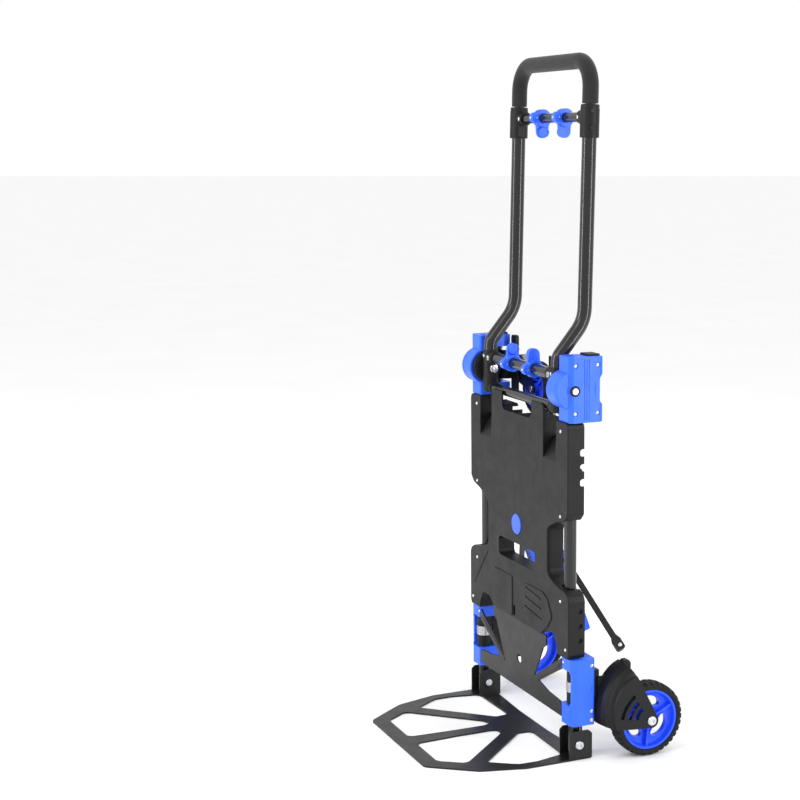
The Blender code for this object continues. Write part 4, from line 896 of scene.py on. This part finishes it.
def rim(centre, axis, rim_r, width, hub_r, web_t, name, body, node, phase, steps=96):
    w = width / 2
    rr = rim_r - GAP
    t, f = web_t / 2, w - 2.2
    k = rr / 53.7

    def half_profile(sign):
        return [(hub_r * 0.62, sign * (w - 1.4)), (hub_r * 0.66, sign * (w - 1.0)), (hub_r - 1.0, sign * (w - 1.0)), (hub_r, sign * (w - 2.0)), (hub_r + 0.6, sign * (t + 3.0)),
                (hub_r + 3.0 * k, sign * (t + 0.4)), (hub_r + 6 * k, sign * t), (rr - 11 * k, sign * t), (rr - 7.5 * k, sign * (t + 0.8)), (rr - 5.6 * k, sign * (t + 3.2)),
                (rr - 4.6 * k, sign * (f - 1.2)), (rr - 3.6 * k, sign * f), (rr - 1.0, sign * f), (rr, sign * (f - 0.9))]
    left = half_profile(-1)
    right = half_profile(1)
    profile = [(5.4, -w + 2.4), (hub_r * 0.62, -w + 2.4)] + left + list(reversed(right)) + [(hub_r * 0.62, w - 2.4), (5.4, w - 2.4)]
    obj = lathe(profile, centre, axis, steps=steps, ring=True)
    d, u, v = frame_for(axis)
    c = Vector(centre)
    mid, rad, tan = (hub_r + rr - 5) / 2 + 0.5, (rr - 5 - hub_r) * 0.27, (rr - 5 - hub_r) * 0.52

    def oval(a, grow, s0, s1, n=40):
        """Bean-shaped outline that follows the rim."""
        bm = bmesh.new()
        rows = []
        for sft in (s0, s1):
            ring = []
            for i in range(n):
                q = 2 * pi * i / n
                radius = mid + (rad + grow) * sin(q)
                swing = (tan + grow) * cos(q) / mid * 1.18
                ring.append(bm.verts.new(c + d * sft + (u * cos(a + swing) + v * sin(a + swing)) * radius))
            rows.append(ring)
        bm.faces.new(rows[0])
        bm.faces.new(rows[1])
        for i in range(n):
            j = (i + 1) % n
            bm.faces.new((rows[0][i], rows[0][j], rows[1][j], rows[1][i]))
        return mesh_object("h", bm, RIM)

    def spoke(a, r0, r1, half_w, reach):
        radial = u * cos(a) + v * sin(a)
        tangent = u * -sin(a) + v * cos(a)
        bm = bmesh.new()
        vs = []
        for r0_, hw, rc in ((r0, half_w * 1.25, reach), (r1, half_w, reach - 1.2)):
            for p, q in ((-1, -1), (1, -1), (1, 1), (-1, 1)):
                vs.append(bm.verts.new(c + radial * r0_ + tangent * (hw * p) + d * (rc * q)))
        for fc in ((0, 1, 2, 3), (7, 6, 5, 4), (0, 4, 5, 1), (1, 5, 6, 2), (2, 6, 7, 3), (3, 7, 4, 0)):
            bm.faces.new([vs[i] for i in fc])
        return mesh_object("r", bm, RIM)
    extras, holes = [], []
    for q in range(3):
        a = radians(phase + 120 * q)
        extras.append(oval(a, 2.0 * k, -t - 2.6, t + 2.6))
        holes.append(oval(a, 0.0, -w - 3, w + 3))
        a = radians(phase + 60 + 120 * q)
        extras.append(spoke(a, hub_r - 2, rr - 3.5, 1.5, w - 4.4))
    add(obj, *extras)
    cut(obj, *holes)
    place(obj, name, "rim_blue", body, [node], bevel=0.5, segments=2, smooth=34)


for s, tag in ((1, "R"), (-1, "L")):
    c = (s * WHEEL_C[0], WHEEL_C[1], WHEEL_C[2])
    tyre(c, (1, 0, 0), WHEEL_R, RIM_R, WHEEL_W, 34, 2.0, "road_tyre_tread_" + tag, "road_wheel_" + tag, "road_tyre_" + tag)
    rim(c, (1, 0, 0), RIM_R, WHEEL_W, 12.0, 5.0, "road_rim_disc_" + tag, "road_wheel_" + tag, "road_rim_" + tag, 265)
    c = (s * CASTER_C[0], CASTER_C[1], CASTER_C[2])
    tyre(c, (0, 1, 0), CASTER_R, CASTER_RIM_R, CASTER_W, 30, 1.6, "caster_tyre_tread_" + tag, "caster_wheel_" + tag, "caster_tyre_" + tag)
    rim(c, (0, 1, 0), CASTER_RIM_R, CASTER_W, 9.0, 4.0, "caster_rim_disc_" + tag, "caster_wheel_" + tag, "caster_rim_" + tag, 140 if s < 0 else 40)


# ---------------------------------------------------------------- casters at the top
def caster(s, tag):
    hx, hy = CASTER_HINGE
    ky, kz = KINGPIN
    plan = [(184, 46.5), (171, 46.5), (163.5, 46.5), (159.5, 50), (157.5, 58), (157.5, 65), (157.5, 71), (162, 71), (164, 60), (166, 54), (171, 52.5), (184, 52.5)]
    web = prism(soft([(s * x, y) for x, y in plan], [0, 0, 3, 3, 2, 0, 0, 1, 3, 3, 2, 0], 3), "XY", 624, 678)
    barrels = [lathe([(12.2, z0), (13, z0 + 0.8), (13, z1 - 0.8), (12.2, z1)], (s * hx, hy, 0), (0, 0, 1), steps=48) for z0, z1 in ((617.2, 640.6), (660.9, 684.8))]
    add(web, *barrels)
    cut(web, rod((s * hx, hy, 600), (s * hx, hy, 700), 5.5, steps=32), block(s * 172.5, s * 199, 26, 53.5, 640.6, 660.9))
    strap = prism(soft([(s * 140, 595.5), (s * 160, 595.5), (s * 160, 707.5), (s * 140, 707.5)], 6, 5), "XZ", 65, 72)
    boss = [rod((s * 150, 71, z), (s * 150, 73.6, z), 7.4, steps=32, chamfer=0.6) for z in (607.5, 693.5)]
    add(web, strap, *boss)
    housing = lathe([(13, 129.5), (13, 141), (0, 141)], (0, ky, kz), (s, 0, 0), steps=40)
    collar = lathe([(15.8, 123.5), (17, 124.6), (17, 129), (16, 130), (0, 130)], (0, ky, kz), (s, 0, 0), steps=48)
    ribs = [block(s * 141, s * 158, ky - 1.5, ky + 8, kz - 11, kz - 8.6), block(s * 141, s * 158, ky - 1.5, ky + 8, kz + 8.6, kz + 11)]
    add(web, housing, collar, *ribs)
    place(web, "caster_bracket_" + tag, "black_plastic", "caster_arm_" + tag, ["caster_leaf_" + tag], bevel=0.6, segments=2)
    fixings("caster_bracket_bolts_" + tag, "caster_arm_" + tag, [(HEX, (s * 150, 73.6, z), (0, 1, 0), 4.6) for z in (607.5, 693.5)])
    base = prism(soft([(ky - 15.4, 622), (ky + 15.4, 622), (ky + 15.4, 674), (ky - 15.4, 674)], 3, 3), "YZ", min(s * 119.4, s * 122.4), max(s * 119.4, s * 122.4))
    cx, cz = CASTER_C[0], CASTER_C[2]
    front = prism(soft(mirror_points([(122.4, 622), (122.4, 674), (114, 674), (72, 634)] + arc(cx, cz, 11, 100, 260, 8) + [(100, 616)], s), [0, 2, 6, 5] + [0] * 9 + [6], 4), "XZ", ky - 15.4, ky - 13.2)
    rear = prism(soft(mirror_points([(122.4, 622), (122.4, 674), (114, 674), (72, 634), (46, 630), (44, 626), (44, 610), (50, 606), (66, 605), (100, 616)], s), [0, 2, 6, 5, 2, 2, 2, 2, 3, 6], 4), "XZ", ky + 13.2, ky + 15.4)
    add(base, front, rear)
    cut(base, rod((s * cx, 50, cz), (s * cx, 110, cz), 4.5, steps=24))
    stop_bar = prism(soft([(s * x, y) for x, y in ((40, ky + 15), (57, ky + 15), (57, ky + 21), (54, ky + 23), (43, ky + 23), (40, ky + 21))], [0.5, 0.5, 1.5, 1.5, 1.5, 1.5], 2), "XY", 558, 677)
    add(base, stop_bar)
    slots = [prism(soft([(s * 45.5, z0), (s * 51.5, z0), (s * 51.5, z1), (s * 45.5, z1)], 2.4, 4), "XZ", ky + 10, ky + 30) for z0, z1 in ((562, 574), (661, 673))]
    slots.append(prism(soft([(s * 44.5, 584), (s * 52.5, 584), (s * 52.5, 650), (s * 44.5, 650)], 2, 2), "XZ", ky + 21.4, ky + 30))
    cut(base, *slots)
    place(base, "caster_yoke_" + tag, "black_tube", "caster_swivel_" + tag, ["caster_fork_" + tag], bevel=0.5, segments=2)
    axle = lathe([(0, ky - 17.4), (5.4, ky - 17.4), (6, ky - 16.8), (6, ky - 15.7), (4.1, ky - 15.7), (4.1, ky + 15.7), (7, ky + 15.7), (7, ky + 18.0), (6, ky + 19.2),
                  (2.8, ky + 19.2), (2.6, ky + 18.0), (0, ky + 18.0)], (s * cx, 0, cz), (0, 1, 0), steps=40)
    place(axle, "caster_bolt_" + tag, "bright_steel", "caster_swivel_" + tag, ["caster_axle_" + tag], smooth=28)


both(caster)


# ---------------------------------------------------------------- folding handle
def handle_side(s, tag):
    arm = lathe([(11.4, 605), (12.4, 606), (ARM_R - 0.3, 608.5), (ARM_R, 610), (ARM_R, 682.4), (ARM_R - 0.9, 684)], (s * ARM_X, PIVOT[0], 0), (0, 0, 1), steps=64)
    hub = lathe([(26.4, 159.6), (27.4, 159.2), (28, 158.2), (28, 152.6), (27.2, 151.4), (24, 151.2), (23.4, 150.4), (0, 150.4)], (0, PIVOT[0], PIVOT[1]), (s, 0, 0), steps=80)
    tee = lathe([(12.4, 140), (12.4, 113.4), (11.6, 112.4), (0, 112.4)], (0, PIVOT[0], 670), (s, 0, 0), steps=48)
    tee_low = lathe([(10.6, 140), (10.6, 121.4), (9.8, 120.4), (0, 120.4)], (0, PIVOT[0], 614), (s, 0, 0), steps=40)
    add(arm, hub, tee, tee_low)
    cut(arm, rod((s * 110, PIVOT[0], PIVOT[1]), (s * 170, PIVOT[0], PIVOT[1]), 5.6, steps=32),
        rod((s * 110, PIVOT[0], 670), (s * 127.4, PIVOT[0], 670), 10.2, steps=40),
        rod((s * 110, PIVOT[0], 614), (s * 127.4, PIVOT[0], 614), 8.7, steps=40))
    place(arm, "arm_shell_" + tag, "black_plastic", "handle", ["handle_arm_" + tag], bevel=0.5, segments=2)
    path = corner_path([(s * ARM_X, PIVOT[0], 684.3), (s * ARM_X, PIVOT[0], BEND_LOW), (s * ARM_X, Y_HIGH, BEND_HIGH), (s * ARM_X, lean(1128.5), 1128.5)], [26, 66], 14)
    tube = sweep(path, HANDLE_R, steps=48, bore=HANDLE_BORE)
    place(tube, "handle_upright_" + tag, "black_tube", "handle", ["handle_tube_" + tag], tidy_up=False, smooth=40)
    a, b = Vector((s * ARM_X, lean(1073), 1073)), Vector((s * ARM_X, lean(1129), 1129))
    length = (b - a).length
    collar = lathe([(12.9, 0), (15.6, 0), (16.5, 0.9), (16.5, length - 7), (16.0, length - 6.2), (16.0, length - 1.4), (15, length), (12.9, length)], a, b - a, steps=64, ring=True)
    tee = lathe([(12.2, 130), (12.2, 110.4), (11.2, 109.2), (8.8, 109.2), (8.8, 130)], (0, lean(1108), 1108), (s, 0, 0), steps=48, ring=True)
    ears = []
    for z in (1118, 1090):
        ears.append(rod((s * 155.0, lean(z) - 4, z), (s * 158.4, lean(z) - 4, z), 4.0, steps=24, chamfer=0.7))
    web = prism(soft([(lean(1080) - 9, 1076), (lean(1080) + 3, 1076), (lean(1100) + 4, 1100), (lean(1100) - 9, 1100)], 2, 2), "YZ", min(s * 121, s * 128), max(s * 121, s * 128))
    add(collar, tee, *ears, web)
    place(collar, "collar_shell_" + tag, "black_plastic", "handle", ["handle_collar_" + tag], bevel=0.6, segments=2)
    fixings("handle_screws_" + tag, "handle",
            [(SCREW, (s * ARM_X, PIVOT[0] - ARM_R + 0.3, 673), (0, -1, 0), 3.4), (HEX, (s * 126, PIVOT[0] - 12.2, 670), (0, -1, 0), 5.0),
             (SCREW, (s * 116.5, lean(1108) - 12.0, 1108), (0, -1, 0), 3.6)])


both(handle_side)
for name, x, y, z, r in (("bar_low", 125.4, PIVOT[0], 614, 8.5), ("bar_mid", 125.4, PIVOT[0], 670, 10), ("bar_top", 123.2, lean(1108), 1108, 8.5)):
    bar = rod((-x, y, z), (x, y, z), r, steps=56, chamfer=0.6)
    place(bar, "cross_" + name, "black_tube", "handle", ["handle_" + name], smooth=28)

# ---------------------------------------------------------------- telescoping grip
foam_z = TOP - FOAM_R


def foam_tube():
    path = corner_path([(-ARM_X, lean(1130.4), 1130.4), (-ARM_X, lean(foam_z), foam_z), (ARM_X, lean(foam_z), foam_z), (ARM_X, lean(1130.4), 1130.4)], 46, 16)
    # finer stations on the straight runs, and soft ends
    full = [path[0]]
    for a, b in zip(path, path[1:]):
        n = max(1, int((b - a).length / 12))
        full += [a + (b - a) * k / n for k in range(1, n + 1)]
    obj = sweep(full, FOAM_R, steps=48, bore=GRIP_R + 0.4)
    place(obj, "foam_sleeve", "grip_foam", "grip", ["grip_foam"], bevel=1.2, segments=3, angle=50, smooth=45, tidy_up=False)


foam_tube()
ring_path = corner_path([(-ARM_X, lean(862), 862), (-ARM_X, lean(foam_z), foam_z), (ARM_X, lean(foam_z), foam_z), (ARM_X, lean(862), 862)], 46, 14)
inner_tube = sweep(ring_path, GRIP_R, steps=40)
place(inner_tube, "grip_bow", "black_tube", "grip", ["grip_tube"], tidy_up=False, smooth=40)


# ---------------------------------------------------------------- thumb latches on the cross bars
def thumb(s, tag, z, bar_r, up, name):
    y = PIVOT[0] if up > 0 else lean(z)
    ring = lathe([(15.2, 37.0), (16, 37.8), (16, 51.2), (15.2, 52.0), (bar_r + 0.5, 52.0), (bar_r + 0.5, 37.0)], (0, y, z), (s, 0, 0), steps=64, ring=True)
    cz = z + 25 if up > 0 else z - 24
    lo, hi = sorted((s * 40, s * 47))
    pts = [(y - 12.5, z), (y + 12.5, z)] + (arc(y, cz, 11, 0, 180, 16) if up > 0 else list(reversed(arc(y, cz, 11, 180, 360, 16))))
    if up < 0:
        pts = [(y + 12.5, z), (y - 12.5, z)] + arc(y, cz, 11, 180, 360, 16)
    paddle = prism(pts, "YZ", lo, hi)
    dish = rod((s * 33.0, y, cz + up * 0.5), (s * 41.0, y, cz + up * 0.5), 9.6, steps=48, chamfer=1.2)
    lobe = lathe([(8.8, 37.6), (9.8, 38.6), (9.8, 50.4), (8.8, 51.4), (0, 51.4), (0, 37.6)], (0, y - 13, z - up * 1.0), (s, 0, 0), steps=48)
    neck = block(s * 38, s * 51, y - 15, y, z - 8, z + 8)
    add(ring, paddle, dish, lobe, neck)
    cut(ring, rod((s * 20, y, z), (s * 70, y, z), bar_r + 0.5, steps=56))
    cut(ring, rod((s * 30, y, cz + up * 0.5), (s * 34.4, y, cz + up * 0.5), 7.2, steps=40))
    place(ring, name + "_tab_" + tag, "blue_plastic", name + "_" + tag, [name + "_" + tag], bevel=0.7, segments=3)
    fixings(name + "_pin_" + tag, name + "_" + tag, [(RIVET, (s * 50.9, y - 13, z - up), (s, 0, 0), 2.9), (RIVET, (s * 38.1, y - 13, z - up), (-s, 0, 0), 2.9),
                                                      (RIVET, (s * 44.5, y - 22.6, z - up), (0, -1, 0), 2.6)])


for s, tag in ((1, "R"), (-1, "L")):
    thumb(s, tag, 670.0, 10.0, 1, "fold_latch")
    thumb(s, tag, 1108.0, 8.5, -1, "height_latch")

# ---------------------------------------------------------------- folding nose plate
hy, hz = NOSE_HINGE
half = [(0, -237), (124, -237), (131, -234), (187, -162), (190, -156), (212, -80), (212, 46), (171.5, 46), (171.5, 40), (60, 34), (0, 34)]
half_r = [0, 8, 12, 12, 12, 20, 4, 1, 1, 12, 0]
outline = [(x, y) for x, y in half] + [(-x, y) for x, y in reversed(half[1:-1])]
radii = half_r + list(reversed(half_r[1:-1]))
nose = prism(soft(outline, radii, 5), "XY", 0.0, 3.0)
holes = []
for s in (1, -1):
    for pts, rr in (([(158, -132), (184, -96), (191, -84), (192, -50), (181, -2), (172, 5), (60, 7), (50, 2), (48, -20)], [6, 9, 7, 12, 8, 6, 8, 6, 8]),
                    ([(112, -208), (120, -202), (144, -169), (142, -158), (40, -52), (30, -47), (18, -48), (14, -60), (14, -120), (18, -200), (24, -208)],
                     [8, 6, 7, 7, 8, 6, 7, 7, 20, 6, 6])):
        holes.append(prism(soft([(s * x, y) for x, y in pts], rr, 5), "XY", -3, 6))
cut(nose, *holes)
for s in (1, -1):
    for x0, x1 in ((171.4, 174.4), (209.0, 212.0)):
        cheek = prism(soft([(2, 1.5), (46, 1.5), (46, 46), (40, 52), (8, 52), (2, 46)], [0, 0, 4, 6, 6, 4], 4), "YZ", min(s * x0, s * x1), max(s * x0, s * x1))
        add(nose, cheek)
    cut(nose, rod((s * 160, hy, hz), (s * 225, hy, hz), 4.4, steps=32))
place(nose, "toe_plate", "black_steel", "nose", ["nose_plate"], bevel=0.7, segments=3)


def nose_bolt(s, tag):
    bolt = lathe([(0, 168.4), (5.9, 168.4), (6.5, 169.0), (6.5, 171.1), (4.1, 171.1), (4.1, 212.3), (8, 212.3), (8, 213.8), (6.8, 215.4), (3.6, 215.6), (3.2, 213.8), (0, 213.8)],
                 (0, hy, hz), (s, 0, 0), steps=48)
    place(bolt, "toe_bolt_" + tag, "bright_steel", "frame", ["nose_hinge_bolt_" + tag], smooth=28)


both(nose_bolt)

# ---------------------------------------------------------------- floor, light and camera
for template in (SCREW, HEX, RIVET):
    bpy.data.objects.remove(template, do_unlink=True)


def floor_material():
    m, nt, b = shader("studio_floor")
    nt.links.new(blend_colour(nt, remap(nt, noise(nt, 2.5, 3.0), 0.0, 1.0), (0.93, 0.93, 0.932), (0.95, 0.95, 0.952)), b.inputs["Base Color"])
    nt.links.new(remap(nt, noise(nt, 30.0, 4.0), 0.80, 0.92), b.inputs["Roughness"])
    b.inputs["Specular IOR Level"].default_value = 0.2
    bump_chain(nt, b, [(noise(nt, 220.0, 2.0), 0.0001, 0.08)])
    return m


mesh = bpy.data.meshes.new("studio_floor")
n, size = 40, 160.0
verts = [((i / n - 0.5) * size, (j / n - 0.5) * size, 0.0) for j in range(n + 1) for i in range(n + 1)]
faces = [(j * (n + 1) + i, j * (n + 1) + i + 1, (j + 1) * (n + 1) + i + 1, (j + 1) * (n + 1) + i) for j in range(n) for i in range(n)]
mesh.from_pydata(verts, [], faces)
floor = bpy.data.objects.new("studio_floor", mesh)
bpy.context.scene.collection.objects.link(floor)
mesh.materials.append(floor_material())

world = bpy.data.worlds.new("studio")
bpy.context.scene.world = world
world.use_nodes = True
world.node_tree.nodes["Background"].inputs["Color"].default_value = (1.0, 1.0, 1.0, 1.0)
world.node_tree.nodes["Background"].inputs["Strength"].default_value = 1.0


def area(name, location, target, size, size_y, power, colour=(1, 1, 1)):
    light = bpy.data.lights.new(name, "AREA")
    light.shape = "RECTANGLE"
    light.size, light.size_y, light.energy, light.color = size, size_y, power, colour
    obj = bpy.data.objects.new(name, light)
    bpy.context.scene.collection.objects.link(obj)
    obj.location = location
    obj.rotation_mode = "QUATERNION"
    obj.rotation_quaternion = (Vector(target) - Vector(location)).to_track_quat("-Z", "Y")
    return obj


area("key", (1.0, -2.6, 2.9), (0, 0, 0.55), 1.6, 1.6, 26)
area("side", (2.6, 1.5, 1.3), (0, 0, 0.6), 0.30, 2.6, 44)
area("fill", (-0.6, -2.8, 1.1), (0, 0, 0.6), 0.30, 2.4, 40)
area("back", (-0.8, 2.6, 2.0), (0, 0, 0.6), 1.2, 1.2, 14)

cam_data = bpy.data.cameras.new("camera")
cam = bpy.data.objects.new("camera", cam_data)
bpy.context.scene.collection.objects.link(cam)
yaw, pitch = radians(64.34), radians(9.03)
ahead = Vector((-sin(yaw) * cos(pitch), cos(yaw) * cos(pitch), -sin(pitch)))
cam.location = (2.6770, -1.2626 + Y_SHIFT * 0.001, 1.0586)
cam.rotation_mode = "QUATERNION"
cam.rotation_quaternion = ahead.to_track_quat("-Z", "Y")
cam_data.sensor_fit = "HORIZONTAL"
cam_data.sensor_width = 36.0
cam_data.lens = 74.95
cam_data.shift_x = -0.16
cam_data.shift_y = 0.01375
cam_data.clip_start, cam_data.clip_end = 0.05, 60.0
bpy.context.scene.camera = cam
bpy.context.scene.view_settings.view_transform = "Standard"
